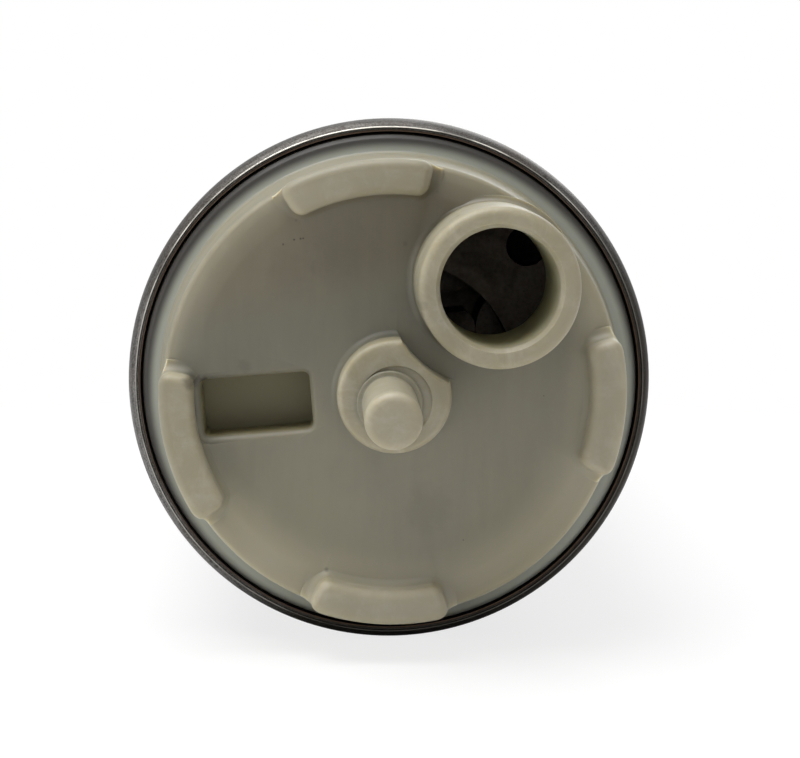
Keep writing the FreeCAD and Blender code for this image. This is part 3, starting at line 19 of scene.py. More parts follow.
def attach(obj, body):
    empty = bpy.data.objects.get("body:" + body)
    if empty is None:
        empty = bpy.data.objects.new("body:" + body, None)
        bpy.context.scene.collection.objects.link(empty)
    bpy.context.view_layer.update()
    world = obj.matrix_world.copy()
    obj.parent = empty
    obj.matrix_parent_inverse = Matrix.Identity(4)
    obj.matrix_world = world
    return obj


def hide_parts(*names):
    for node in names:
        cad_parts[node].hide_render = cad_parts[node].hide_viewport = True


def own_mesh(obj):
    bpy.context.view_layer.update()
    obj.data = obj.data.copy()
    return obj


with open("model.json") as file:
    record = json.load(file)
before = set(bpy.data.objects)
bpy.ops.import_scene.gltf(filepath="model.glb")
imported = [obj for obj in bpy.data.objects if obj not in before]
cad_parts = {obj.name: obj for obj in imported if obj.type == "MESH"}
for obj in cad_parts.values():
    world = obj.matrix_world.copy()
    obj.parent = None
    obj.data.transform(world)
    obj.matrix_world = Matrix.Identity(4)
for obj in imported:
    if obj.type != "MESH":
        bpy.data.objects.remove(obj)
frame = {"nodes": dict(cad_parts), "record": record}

LOG = logging.getLogger("pump")
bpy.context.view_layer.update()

MM = 0.001
RIM_Y = -40.0
ROUND_STEPS = 160
CORNER_STEPS = 5
FINE_CORNER_STEPS = 6
PLAN_STEP = 0.45
UP, DOWN = 1.0, -1.0
UPRIGHT_SHARE = 0.9
SHARP_ANGLE = 0.5
MERGE_GAP = 1e-4
JOIN_GAP = 1e-3
SMOOTH_ANGLE = math.radians(28)
LIP_ANGLE = math.radians(40)
WHITE = (1.0, 1.0, 1.0, 1.0)

Point = tuple[float, float]
Colour = tuple[float, float, float]
Spot = tuple[float, float, float]
Band = tuple[float, float]
Corner = Union[tuple[float, float], tuple[float, float, float]]
Thing = bpy.types.Object
Material = bpy.types.Material
EdgeTest = Callable[[bmesh.types.BMEdge], bool]


def linear(red: int, green: int, blue: int) -> Colour:
    """Turns a screen colour into the linear values that a shader takes.

    Args:
        red: Red, 0 to 255.
        green: Green, 0 to 255.
        blue: Blue, 0 to 255.

    Returns:
        The three linear values.
    """
    def one(level: int) -> float:
        """Linear value of one channel."""
        share = level / 255
        return share / 12.92 if share <= 0.04045 else ((share + 0.055) / 1.055) ** 2.4
    return one(red), one(green), one(blue)


# Shader trees

class Wire:
    """One output of a shader tree, written in sums like a number."""

    def __init__(self, tree: "Tree", socket: bpy.types.NodeSocket) -> None:
        """Keeps the socket and the tree that it belongs to."""
        self.tree = tree
        self.socket = socket

    def __add__(self, other: "Term") -> "Wire":
        """Sum."""
        return self.tree.maths("ADD", self, other)

    def __sub__(self, other: "Term") -> "Wire":
        """Difference."""
        return self.tree.maths("SUBTRACT", self, other)

    def __rsub__(self, other: "Term") -> "Wire":
        """Difference, the other way round."""
        return self.tree.maths("SUBTRACT", other, self)

    def __mul__(self, other: "Term") -> "Wire":
        """Product."""
        return self.tree.maths("MULTIPLY", self, other)

    __radd__ = __add__
    __rmul__ = __mul__


Term = Union[Wire, int, float]


class Tree:
    """A node tree, with a short way to add to it."""

    def __init__(self, graph: bpy.types.NodeTree) -> None:
        """Keeps Blender's tree."""
        self.graph = graph

    def node(self, kind: str, settings: Optional[dict] = None, **inputs: object) -> dict[str, Wire]:
        """Adds any node.

        Args:
            kind: Blender's name of the node's type.
            settings: Attributes set before the sockets.
            inputs: Values or wires by socket name, with _ for a space, or s0, s1 by number.

        Returns:
            The node's outputs by name.
        """
        made = self.graph.nodes.new(kind)
        for key, value in (settings or {}).items():
            setattr(made, key, value)
        for key, value in inputs.items():
            by_number = key[0] == "s" and key[1:].isdigit()
            self.plug(made.inputs[int(key[1:]) if by_number else key.replace("_", " ")], value)
        return {out.name: Wire(self, out) for out in made.outputs if out.enabled}

    def plug(self, socket: bpy.types.NodeSocket, value: object) -> None:
        """Links a wire to a socket, or writes a plain value there.

        Args:
            socket: The socket to feed.
            value: A wire, a number, or a colour or vector.
        """
        if isinstance(value, Wire):
            self.graph.links.new(value.socket, socket)
        elif socket.type == "RGBA" and len(value) == 3:
            socket.default_value = (*value, 1.0)
        else:
            socket.default_value = value

    def maths(self, operation: str, first: Term, second: Term = 0.0) -> Wire:
        """One Math node.

        Args:
            operation: Its operation.
            first: First value.
            second: Second value.

        Returns:
            The result.
        """
        return self.node("ShaderNodeMath", {"operation": operation}, s0=first, s1=second)["Value"]


class Recipe(Tree):
    """The node tree of one material, with the patterns that the finishes share."""

    def __init__(self, name: str) -> None:
        """Starts a material with its shader and its object coordinates.

        Args:
            name: Name of the material.
        """
        self.material = bpy.data.materials.new(name)
        self.material.use_nodes = True
        super().__init__(self.material.node_tree)
        self.shader = self.graph.nodes["Principled BSDF"]
        self.place = self.node("ShaderNodeTexCoord")["Object"]

    def noise(self, scale: float, detail: float = 3.0, roughness: float = 0.5,
              place: Optional[Wire] = None, warp: float = 0.0) -> Wire:
        """Soft noise from 0 to 1.

        Args:
            scale: Lumps to the metre.
            detail: Octaves.
            roughness: Strength of the fine octaves.
            place: Where it is read, the object's own place if none is given.
            warp: Distortion.

        Returns:
            The noise value.
        """
        made = self.node("ShaderNodeTexNoise", {"noise_dimensions": "3D"}, Vector=place or self.place,
                         Scale=scale, Detail=detail, Roughness=roughness, Distortion=warp)
        return made.get("Fac") or made["Factor"]

    def specks(self, scale: float, size: float) -> Wire:
        """A mask of small round spots, 1 on a spot.

        Args:
            scale: Cells to the metre.
            size: Radius of a spot as a share of a cell.

        Returns:
            The mask.
        """
        cells = self.node("ShaderNodeTexVoronoi", {"feature": "F1"}, Vector=self.place, Scale=scale)
        return self.fall(cells["Distance"], size, size * 0.4)

    def fall(self, value: Wire, start: float, end: float) -> Wire:
        """Maps a value to 0 at start and 1 at end, smoothly, and no further.

        Args:
            value: The value to map.
            start: Where the mask is 0.
            end: Where the mask is 1.

        Returns:
            The mask.
        """
        mapped = self.node("ShaderNodeMapRange", {"interpolation_type": "SMOOTHSTEP", "clamp": True},
                           Value=value, From_Min=start, From_Max=end, To_Min=0.0, To_Max=1.0)
        return mapped["Result"]

    def mix(self, share: Term, first: object, second: object) -> Wire:
        """Blend of two colours.

        Args:
            share: 0 for the first, 1 for the second.
            first: A colour or wire.
            second: A colour or wire.

        Returns:
            The blended colour.
        """
        return self.node("ShaderNodeMix", {"data_type": "RGBA"}, s0=share, s6=first, s7=second)["Result"]

    def stretched(self, along: float, across: float, up: float) -> Wire:
        """The object's place with each axis scaled, for a grain with a direction.

        Args:
            along: Scale of X.
            across: Scale of Y.
            up: Scale of Z.

        Returns:
            The scaled place.
        """
        return self.node("ShaderNodeMapping", Vector=self.place, Scale=(along, across, up))["Vector"]

    def split(self) -> tuple[Wire, Wire, Wire]:
        """The three coordinates of the object's place, in metres."""
        parts = self.node("ShaderNodeSeparateXYZ", Vector=self.place)
        return parts["X"], parts["Y"], parts["Z"]

    def span(self, first: Wire, second: Wire) -> Wire:
        """Length of the diagonal over two distances."""
        return self.maths("SQRT", first * first + second * second)

    def radius(self, across: float = 0.0, up: float = 0.0) -> Wire:
        """Distance from an axis that runs along Y, in millimetres.

        Args:
            across: X of the axis, in millimetres.
            up: Z of the axis, in millimetres.

        Returns:
            The distance.
        """
        x, _, z = self.split()
        return self.span(x * 1000 - across, z * 1000 - up)

    def turned(self, rings: float, round_it: float) -> Wire:
        """Coordinates (radius, angle, length) for marks left by turning on a lathe.

        Args:
            rings: Scale of the radius and of the length.
            round_it: Scale round the axis.

        Returns:
            The coordinates, scaled.
        """
        x, y, z = self.split()
        angle = self.maths("ARCTAN2", z, x)
        return self.node("ShaderNodeCombineXYZ", X=self.span(x, z) * rings, Y=angle * round_it,
                         Z=y * rings)["Vector"]

    def bump(self, height: Wire, depth: float, strength: float = 1.0) -> Wire:
        """Normal of a fine relief.

        Args:
            height: Height from 0 to 1.
            depth: Depth of the relief in metres.
            strength: Share of the effect.

        Returns:
            The normal.
        """
        return self.node("ShaderNodeBump", Height=height, Distance=depth, Strength=strength)["Normal"]

    def dress(self, **inputs: object) -> Material:
        """Feeds the shader's sockets.

        Args:
            inputs: Values or wires by socket name, with _ for a space.

        Returns:
            The finished material.
        """
        for key, value in inputs.items():
            self.plug(self.shader.inputs[key.replace("_", " ")], value)
        return self.material


@dataclass(frozen=True)
class Mark:
    """A stain or speck on the inlet end: its place and reach in millimetres."""

    across: float
    up: float
    reach: float
    strength: float
    ragged: float = 0.5


INLET_MARKS = tuple(Mark(*numbers) for numbers in (
    (-6.42, 10.66, 0.13, 1.0, 0.3), (-6.24, 10.68, 0.11, 1.0, 0.3), (-6.86, 10.59, 0.1, 0.9, 0.4),
    (-7.63, 10.28, 0.1, 0.8, 0.4), (-13.95, 0.85, 0.75, 0.55, 0.4), (-13.15, 0.73, 0.4, 0.6, 0.5),
    (-6.74, 11.91, 0.15, 0.3, 0.3), (10.63, -0.34, 0.06, 0.7, 0.3), (5.03, -10.59, 0.08, 0.5, 0.3),
    (-7.19, 8.38, 2.6, 0.12, 0.25), (2.65, -8.41, 2.4, 0.12, 0.25), (1.76, 6.63, 0.35, 0.25, 0.5),
    (-10.3, 1.77, 0.6, 0.2, 0.5), (10.25, 12.03, 0.06, 0.8, 0.3), (13.03, 10.9, 0.08, 0.7, 0.4),
    (-3.12, 9.77, 3.4, 0.1, 0.2), (2.3, 6.6, 2.6, 0.14, 0.2), (3.3, 4.4, 1.8, 0.1, 0.2)))


@dataclass(frozen=True)
class Stem:
    """A round form on the cap: its axis, the bands of its side in millimetres, its heights in metres and the
    share of painted shade on its side.
    """

    axis: Point
    inner: Band
    outer: Band
    foot: Band
    tip: Band
    shade: float


@dataclass(frozen=True)
class InletWearAndPaintedLight:
    """Film, chalk and dirt on the inlet end, with painted shade in its groove, over its face, its upper edge,
    its wall and the sides of its stems, and painted light on its raised forms and in the bore.

    A band gives where a mask is 0 and where it is 1: in metres along the pump's Y or across it,
    or, where its name ends in radius, in millimetres from an axis.
    """

    smudge_and_shade: Colour
    pale: Colour
    dirt: Colour
    chalk_and_light: Colour = linear(168, 163, 149)
    edge: Colour = linear(152, 148, 124)
    pocket: Colour = linear(126, 119, 88)
    bore: Colour = linear(158, 154, 122)
    warm_top_shade: Colour = linear(116, 100, 70)
    groove_shade: Colour = linear(34, 29, 22)
    film_and_shade: float = 0.4
    film_shade_drift: float = 1.6
    film_shade_reach: float = 2.6
    flat_face: Band = (-0.0468, -0.0462)
    upper_left: Band = (-0.006, 0.007)
    upper: Band = (0.0055, 0.0105)
    front: Band = (-0.0435, -0.0450)
    disc_side: Band = (-0.0425, -0.0455)
    wall_foot: Band = (-0.0402, -0.0408)
    wall_top: Band = (-0.0452, -0.0446)
    inlet_half: Band = (0.0, -0.02)
    inlet_end: Band = (-0.0340, -0.0360)
    pocket_depth: Band = (-0.0455, -0.0449)
    bore_depth: Band = (-0.0534, -0.0522)
    film_shade_radius: Band = (15.2, 12.0)
    edge_radius: Band = (15.2, 16.4)
    wall_radius: Band = (15.95, 16.1)
    ring_radius: Band = (16.55, 16.8)
    groove_radius: Band = (17.1, 17.85)
    pocket_radius: Band = (5.4, 4.6)
    bore_radius: Band = (4.3, 4.12)
    groove_axis: Point = (0.16, -0.32)
    pocket_axis: Point = (-9.5, -0.95)
    spigot: Stem = Stem((6.9, 7.78), (4.7, 5.1), (6.3, 5.9), (-0.0466, -0.0474), (-0.0536, -0.0530), 0.4)
    peg: Stem = Stem((-0.28, -0.52), (1.1, 1.5), (2.6, 2.3), (-0.0478, -0.0484), (-0.0576, -0.0568), 0.3)
    marks: tuple[Mark, ...] = INLET_MARKS

    def over(self, recipe: Recipe, colour: Wire) -> Wire:
        """Lays the wear, with its painted light and shade, over a colour.

        Args:
            recipe: The recipe.
            colour: The clean colour.

        Returns:
            The worn colour, with painted light and shade.
        """
        across, length, up = recipe.split()
        colour = self._film_and_shade(recipe, colour, recipe.fall(up - across * 0.4, *self.upper_left))
        inlet = recipe.fall(length, *self.inlet_half)
        ring = recipe.fall(recipe.radius(), *self.ring_radius) * inlet
        colour = recipe.mix(ring * 0.8, colour, self.pale)
        # Painted shade in the groove between the cap's collar and the steel lip, with a ragged edge.
        ripple = recipe.noise(120, 3, 0.6) * 0.1
        groove = recipe.fall(recipe.radius(*self.groove_axis) + ripple, *self.groove_radius)
        colour = recipe.mix(groove * inlet, colour, self.groove_shade)
        end = recipe.fall(length, *self.inlet_end)
        pocket = recipe.fall(recipe.radius(*self.pocket_axis), *self.pocket_radius)
        colour = recipe.mix(pocket * recipe.fall(length, *self.pocket_depth) * end, colour, self.pocket)
        # Painted light in the spigot's bore: a paler colour that lifts its shaded wall.
        bore = recipe.fall(recipe.radius(*self.spigot.axis), *self.bore_radius)
        colour = recipe.mix(bore * recipe.fall(length, *self.bore_depth) * end, colour, self.bore)
        # Painted shade down the sides of the spigot and the peg.
        for stem in (self.spigot, self.peg):
            radius = recipe.radius(*stem.axis)
            side = recipe.fall(radius, *stem.inner) * recipe.fall(radius, *stem.outer)
            side = side * recipe.fall(length, *stem.foot) * recipe.fall(length, *stem.tip)
            colour = recipe.mix(side * stem.shade, colour, self.smudge_and_shade)
        ragged = recipe.noise(1500, 3, 0.6) - 0.5
        front = recipe.fall(length, *self.front)
        for mark in self.marks:
            near = recipe.radius(mark.across, mark.up) + ragged * (mark.reach * mark.ragged * 4)
            spot = recipe.fall(near, mark.reach, mark.reach * 0.2) * front
            colour = recipe.mix(spot * mark.strength, colour, self.dirt)
        return colour

    def _film_and_shade(self, recipe: Recipe, colour: Wire, high: Wire) -> Wire:
        """The film on the disc's face, partly painted shade, chalk with painted light on the raised forms, and
        the disc's edge, with painted shade on its upper part and on its wall.

        Args:
            recipe: The recipe.
            colour: The clean colour.
            high: Mask of the upper left half.

        Returns:
            The colour with these.
        """
        across, length, up = recipe.split()
        radius = recipe.radius()
        flat = recipe.fall(length, *self.flat_face)
        # Painted shade over the recessed face, heavier towards the upper left, mixed with a streaky film.
        reached = radius + recipe.noise(120, 3, 0.6) * self.film_shade_drift - high * self.film_shade_reach
        covered = flat * recipe.fall(reached, *self.film_shade_radius)
        streak = recipe.noise(1.0, 4, 0.65, recipe.stretched(900, 900, 160))
        colour = recipe.mix(covered * (streak * 0.25 + high * 0.4 + self.film_and_shade), colour, self.smudge_and_shade)
        # Painted shade, darker and warmer, towards the top of the face.
        warm = recipe.fall(up - across * 0.2, *self.upper)
        colour = recipe.mix(covered * warm * 0.3, colour, self.warm_top_shade)
        # Painted light on the raised forms, in chalky patches.
        raised = (1 - flat) * recipe.fall(length, *self.front)
        chalk_and_light_share = raised * recipe.fall(recipe.noise(420, 5, 0.7, warp=0.5), 0.4, 0.75)
        colour = recipe.mix(chalk_and_light_share * 0.5, colour, self.chalk_and_light)
        rim = recipe.fall(radius, *self.edge_radius) * recipe.fall(length, *self.disc_side)
        colour = recipe.mix(rim * 0.4, colour, self.edge)
        # Painted shade over the upper part of the disc's edge, against its highlight.
        colour = recipe.mix(rim * high * 0.7, colour, self.smudge_and_shade)
        # Painted shade on the disc's outer wall.
        wall = recipe.fall(length, *self.wall_foot) * recipe.fall(length, *self.wall_top)
        return recipe.mix(wall * recipe.fall(radius, *self.wall_radius) * 0.45, colour, self.smudge_and_shade)


@dataclass(frozen=True)
class MouldedPlastic:
    """Moulded plastic, a little clouded and smudged, with wear and painted light and shade of its own where it
    has one.
    """

    body: Colour
    aged: Colour
    smudge_and_shade: Colour
    dirt: Colour
    wear_and_painted_light: Optional[InletWearAndPaintedLight] = None
    roughness: float = 0.42
    glow: float = 0.65
    glow_reach: Colour = (0.0018, 0.0014, 0.0008)

    def make(self, name: str) -> Material:
        """Builds the material.

        Args:
            name: Name of the material.

        Returns:
            The material.
        """
        recipe = Recipe(name)
        cloud = recipe.fall(recipe.noise(70, 2, 0.4), 0.3, 0.7)
        colour = recipe.mix(cloud, self.body, self.aged)
        stain = recipe.fall(recipe.noise(110, 2, 0.5, warp=0.3), 0.55, 0.8)
        colour = recipe.mix(stain * 0.4, colour, self.smudge_and_shade)
        if self.wear_and_painted_light:
            colour = self.wear_and_painted_light.over(recipe, colour)
        mark = recipe.specks(240, 0.06) * recipe.fall(recipe.noise(60), 0.5, 0.62)
        colour = recipe.mix(mark * 0.6, colour, self.dirt)
        relief = recipe.noise(2600, 4, 0.6) * 0.35 + recipe.noise(260, 2, 0.5)
        return recipe.dress(Base_Color=colour, Normal=recipe.bump(relief, 0.00004, 0.35), IOR=1.48,
                            Roughness=self.roughness + recipe.noise(500, 3) * 0.16 - stain * 0.05,
                            Subsurface_Weight=self.glow, Subsurface_Radius=self.glow_reach,
                            Subsurface_Scale=1.0)


class Grain(Enum):
    """Direction of the fine marks on a metal."""

    TURNED = "turned"
    DRAWN = "drawn"
    CAST = "cast"


@dataclass(frozen=True)
class Metal:
    """Metal with fine tool marks, darker pits and a worn sheen."""

    body: Colour
    dark: Colour
    grain: Grain = Grain.TURNED
    roughness: float = 0.35
    metallic: float = 1.0
    pits: float = 0.5
    relief: float = 0.00001

    def make(self, name: str) -> Material:
        """Builds the material.

        Args:
            name: Name of the material.

        Returns:
            The material.
        """
        recipe = Recipe(name)
        if self.grain is Grain.TURNED:
            marks = recipe.noise(1.0, 4, 0.6, recipe.turned(9000, 3))
        elif self.grain is Grain.DRAWN:
            marks = recipe.noise(1.0, 4, 0.6, recipe.stretched(5200, 260, 5200))
        else:
            marks = recipe.noise(3800, 5, 0.65)
        patches = recipe.fall(recipe.noise(190, 4, 0.6, warp=0.6), 0.42, 0.72)
        pits = recipe.specks(2600, 0.3) * recipe.fall(recipe.noise(700, 3), 0.45, 0.6) * self.pits
        shade = patches * 0.55 + recipe.fall(marks, 0.35, 0.7) * 0.35
        colour = recipe.mix(shade, self.body, self.dark)
        colour = recipe.mix(pits, colour, tuple(channel * 0.25 for channel in self.dark))
        rough = self.roughness + patches * 0.12 + marks * 0.12
        normal = recipe.bump(marks - pits * 0.8, self.relief, 0.6)
        return recipe.dress(Base_Color=colour, Roughness=rough, Normal=normal, Metallic=self.metallic)


@dataclass(frozen=True)
class RolledSteel:
    """Bare steel of the shell, scuffed round its lip, with painted shade on its top and lower right and a
    painted highlight along the lip's edge.
    """

    light: Colour
    dark: Colour
    rust: Colour
    shade: Colour
    burr_glint: Colour
    glint_radius: float = 18.41
    stain_radius: float = 18.16
    lip_face: Band = (-0.0393, -0.0397)
    plain_side: Band = (-0.0385, -0.0365)
    crest: Band = (0.002, 0.016)
    lower_right: Band = (-0.004, 0.011)
    near_lip: Band = (-0.0345, -0.0385)
    lit_top: Band = (0.004, 0.017)

    def make(self, name: str) -> Material:
        """Builds the material.

        Args:
            name: Name of the material.

        Returns:
            The material.
        """
        recipe = Recipe(name)
        x, y, z = recipe.split()
        lip = recipe.fall(y, *self.lip_face)
        scuffs = recipe.noise(1.0, 5, 0.7, recipe.turned(6000, 9))
        grit = recipe.noise(8500, 3, 0.8)
        plain = recipe.fall(y, *self.plain_side)
        tone = recipe.fall(scuffs * 0.35 + grit * 0.65, 0.40, 0.62)
        tone = tone * (1 - plain * 0.6) + plain * 0.33
        colour = recipe.mix(tone, self.dark, self.light)
        patch = recipe.fall(recipe.noise(150, 4, 0.65, warp=0.8), 0.5, 0.78)
        colour = recipe.mix(patch * 0.45, colour, self.rust)
        nicks = recipe.specks(1500, 0.34) * recipe.fall(recipe.noise(500, 3), 0.5, 0.62)
        colour = recipe.mix(nicks * 0.6, colour, self.shade)
        # Painted shade over the top of the lip, to dull the highlight that the lamp lays there.
        crest = recipe.fall(z - x * 0.3, *self.crest) * (1 - plain)
        colour = recipe.mix(crest * 0.5, colour, self.shade)
        # Painted shade on the lower right near the lip, for the darker reflection there.
        lee = recipe.fall(x * 0.75 - z * 0.66, *self.lower_right) * recipe.fall(y, *self.near_lip)
        colour = recipe.mix(lee * 0.86, colour, self.shade)
        seam = recipe.maths("ABSOLUTE", recipe.radius() - self.stain_radius)
        colour = recipe.mix(recipe.fall(seam, 0.08, 0.03) * lip * 0.8, colour, self.rust)
        # Painted highlight along the lip's edge, brighter on top and fainter on the lower right.
        edge = recipe.maths("ABSOLUTE", recipe.radius() - self.glint_radius)
        lit = recipe.fall(z - x * 0.25, *self.lit_top) * 0.7 + 0.3
        burr_glint = recipe.fall(edge, 0.06, 0.02) * lip * lit * (1 - lee * 0.7)
        burr_glint = burr_glint * (recipe.fall(recipe.noise(260, 3), 0.36, 0.5) * 0.7 + 0.3)
        colour = recipe.mix(burr_glint, colour, self.burr_glint)
        rough = 0.44 + grit * 0.14 - burr_glint * 0.2 + patch * 0.1
        return recipe.dress(Base_Color=colour, Roughness=rough, Metallic=1.0,
                            Normal=recipe.bump(scuffs * 0.5 + grit * 0.6 - nicks * 0.5, 0.000012, 0.6))


@dataclass(frozen=True)
class Dull:
    """Matt solid such as carbon, ferrite or rubber, with dust in its grain."""

    body: Colour
    dust: Colour
    roughness: float = 0.7
    grain_scale: float = 3000
    relief: float = 0.00002

    def make(self, name: str) -> Material:
        """Builds the material.

        Args:
            name: Name of the material.

        Returns:
            The material.
        """
        recipe = Recipe(name)
        grain = recipe.noise(self.grain_scale, 4, 0.7)
        dusty = recipe.fall(recipe.noise(220, 3, 0.6), 0.5, 0.8)
        colour = recipe.mix(dusty * 0.6 + recipe.fall(grain, 0.55, 0.8) * 0.25, self.body, self.dust)
        rough = self.roughness + grain * 0.15
        return recipe.dress(Base_Color=colour, Roughness=rough, Normal=recipe.bump(grain, self.relief, 0.6))


@dataclass(frozen=True)
class CoilWire:
    """Varnished copper wire, wound side by side."""

    copper: Colour
    varnish: Colour
    wire: float = 0.35

    def make(self, name: str) -> Material:
        """Builds the material.

        Args:
            name: Name of the material.

        Returns:
            The material.
        """
        recipe = Recipe(name)
        turns = 2 * math.pi / self.wire
        x, y, z = recipe.split()
        wave = recipe.maths("SINE", (recipe.span(x, z) + y) * (turns * 1000))
        ridge = wave * 0.5 + 0.5
        stain = recipe.fall(recipe.noise(300, 3), 0.4, 0.7)
        colour = recipe.mix(stain * 0.5 + (1 - ridge) * 0.35, self.copper, self.varnish)
        return recipe.dress(Base_Color=colour, Roughness=0.3 + stain * 0.2, Metallic=0.7,
                            Normal=recipe.bump(ridge, 0.00012, 0.8), Coat_Weight=0.5)


# Modelling bench

def node_slots() -> dict[str, str]:
    """Material slot of every CAD node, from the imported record."""
    return {part["node"]: part["material_slot"] for part in frame["record"]["subparts"]}


def soften(corners: Sequence[Corner], steps: int = CORNER_STEPS) -> list[Point]:
    """Rounds the corners of an outline.

    Args:
        corners: Points (across, up), or (across, up, radius) for a round one.
        steps: Runs in each rounding.

    Returns:
        The outline's points.
    """
    points: list[Point] = []
    count = len(corners)
    for number, corner in enumerate(corners):
        here = Vector(corner[:2])
        radius = corner[2] if len(corner) > 2 else 0.0
        if not radius:
            points.append((here.x, here.y))
            continue
        back = (Vector(corners[number - 1][:2]) - here).normalized()
        ahead = (Vector(corners[(number + 1) % count][:2]) - here).normalized()
        half = math.acos(max(-1.0, min(1.0, back.dot(ahead)))) / 2
        reach = radius / math.tan(half)
        middle = here + (back + ahead).normalized() * (radius / math.sin(half))
        first = here + back * reach - middle
        last = here + ahead * reach - middle
        turn = math.atan2(first.x * last.y - first.y * last.x, first.dot(last))
        for step in range(steps + 1):
            angle = turn * step / steps
            spun = Vector((first.x * math.cos(angle) - first.y * math.sin(angle),
                           first.x * math.sin(angle) + first.y * math.cos(angle)))
            points.append((middle.x + spun.x, middle.y + spun.y))
    return points


def sector(inner: float, outer: float, start: float, span: float, corner: float) -> list[Point]:
    """Plan of a piece of a ring, with round corners.

    Args:
        inner: Inner radius.
        outer: Outer radius.
        start: First side in degrees.
        span: Angle covered in degrees.
        corner: Radius of the corners.

    Returns:
        The plan's points.
    """
    middle = (inner + outer) / 2
    reach = math.radians(span) * middle
    ends = ((0.0, inner), (reach, inner), (reach, outer), (0.0, outer))
    flat = soften([(*end, corner) for end in ends], FINE_CORNER_STEPS)
    points: list[Point] = []
    for number, (along, radius) in enumerate(flat):
        next_along, next_radius = flat[(number + 1) % len(flat)]
        pieces = max(1, round(abs(next_along - along) / PLAN_STEP))
        for piece in range(pieces):
            share = piece / pieces
            angle = math.radians(start) + (along + (next_along - along) * share) / middle
            out = radius + (next_radius - radius) * share
            points.append((out * math.cos(angle), out * math.sin(angle)))
    return points


def rectangle(middle: Point, size: Point, corner: float, turn: float = 0.0) -> list[Point]:
    """Plan of a rectangle with round corners.

    Args:
        middle: Its centre.
        size: Breadth and depth.
        corner: Radius of the corners.
        turn: Turn in degrees.

    Returns:
        The plan's points.
    """
    half, deep = size[0] / 2, size[1] / 2
    ends = ((-half, -deep), (half, -deep), (half, deep), (-half, deep))
    flat = soften([(*end, corner) for end in ends], FINE_CORNER_STEPS)
    lean, rise = math.cos(math.radians(turn)), math.sin(math.radians(turn))
    return [(middle[0] + x * lean - y * rise, middle[1] + x * rise + y * lean) for x, y in flat]


def foot_steps(radius: float, way: float = UP, steps: int = FINE_CORNER_STEPS) -> list[Point]:
    """Insets and rises of a hollow foot.

    Args:
        radius: Radius of the foot's curve.
        way: 1 upwards, -1 downwards.
        steps: Runs in the curve.

    Returns:
        Pairs of an inset and a rise.
    """
    turns = [math.pi / 2 * step / steps for step in range(steps + 1)]
    return [(radius * (math.sin(after) - math.sin(before)), way * radius * (math.cos(before) - math.cos(after)))
            for before, after in zip(turns, turns[1:])]


def brow_steps(radius: float, way: float = UP, steps: int = FINE_CORNER_STEPS) -> list[Point]:
    """Insets and rises of a round brow."""
    return [(abs(rise), way * inset) for inset, rise in foot_steps(radius, UP, steps)]


def flared(radius: float, base: float, flare: float, way: float = UP) -> list[Point]:
    """Outline points of a round form's hollow foot.

    Args:
        radius: The form's radius.
        base: Height of the foot.
        flare: Radius of the foot's curve.
        way: 1 where the form rises, -1 where it hangs.

    Returns:
        Points (radius, height), from the foot inwards.
    """
    points = [(radius + flare, base)]
    for inset, rise in foot_steps(flare, way):
        points.append((points[-1][0] - inset, points[-1][1] + rise))
    return points


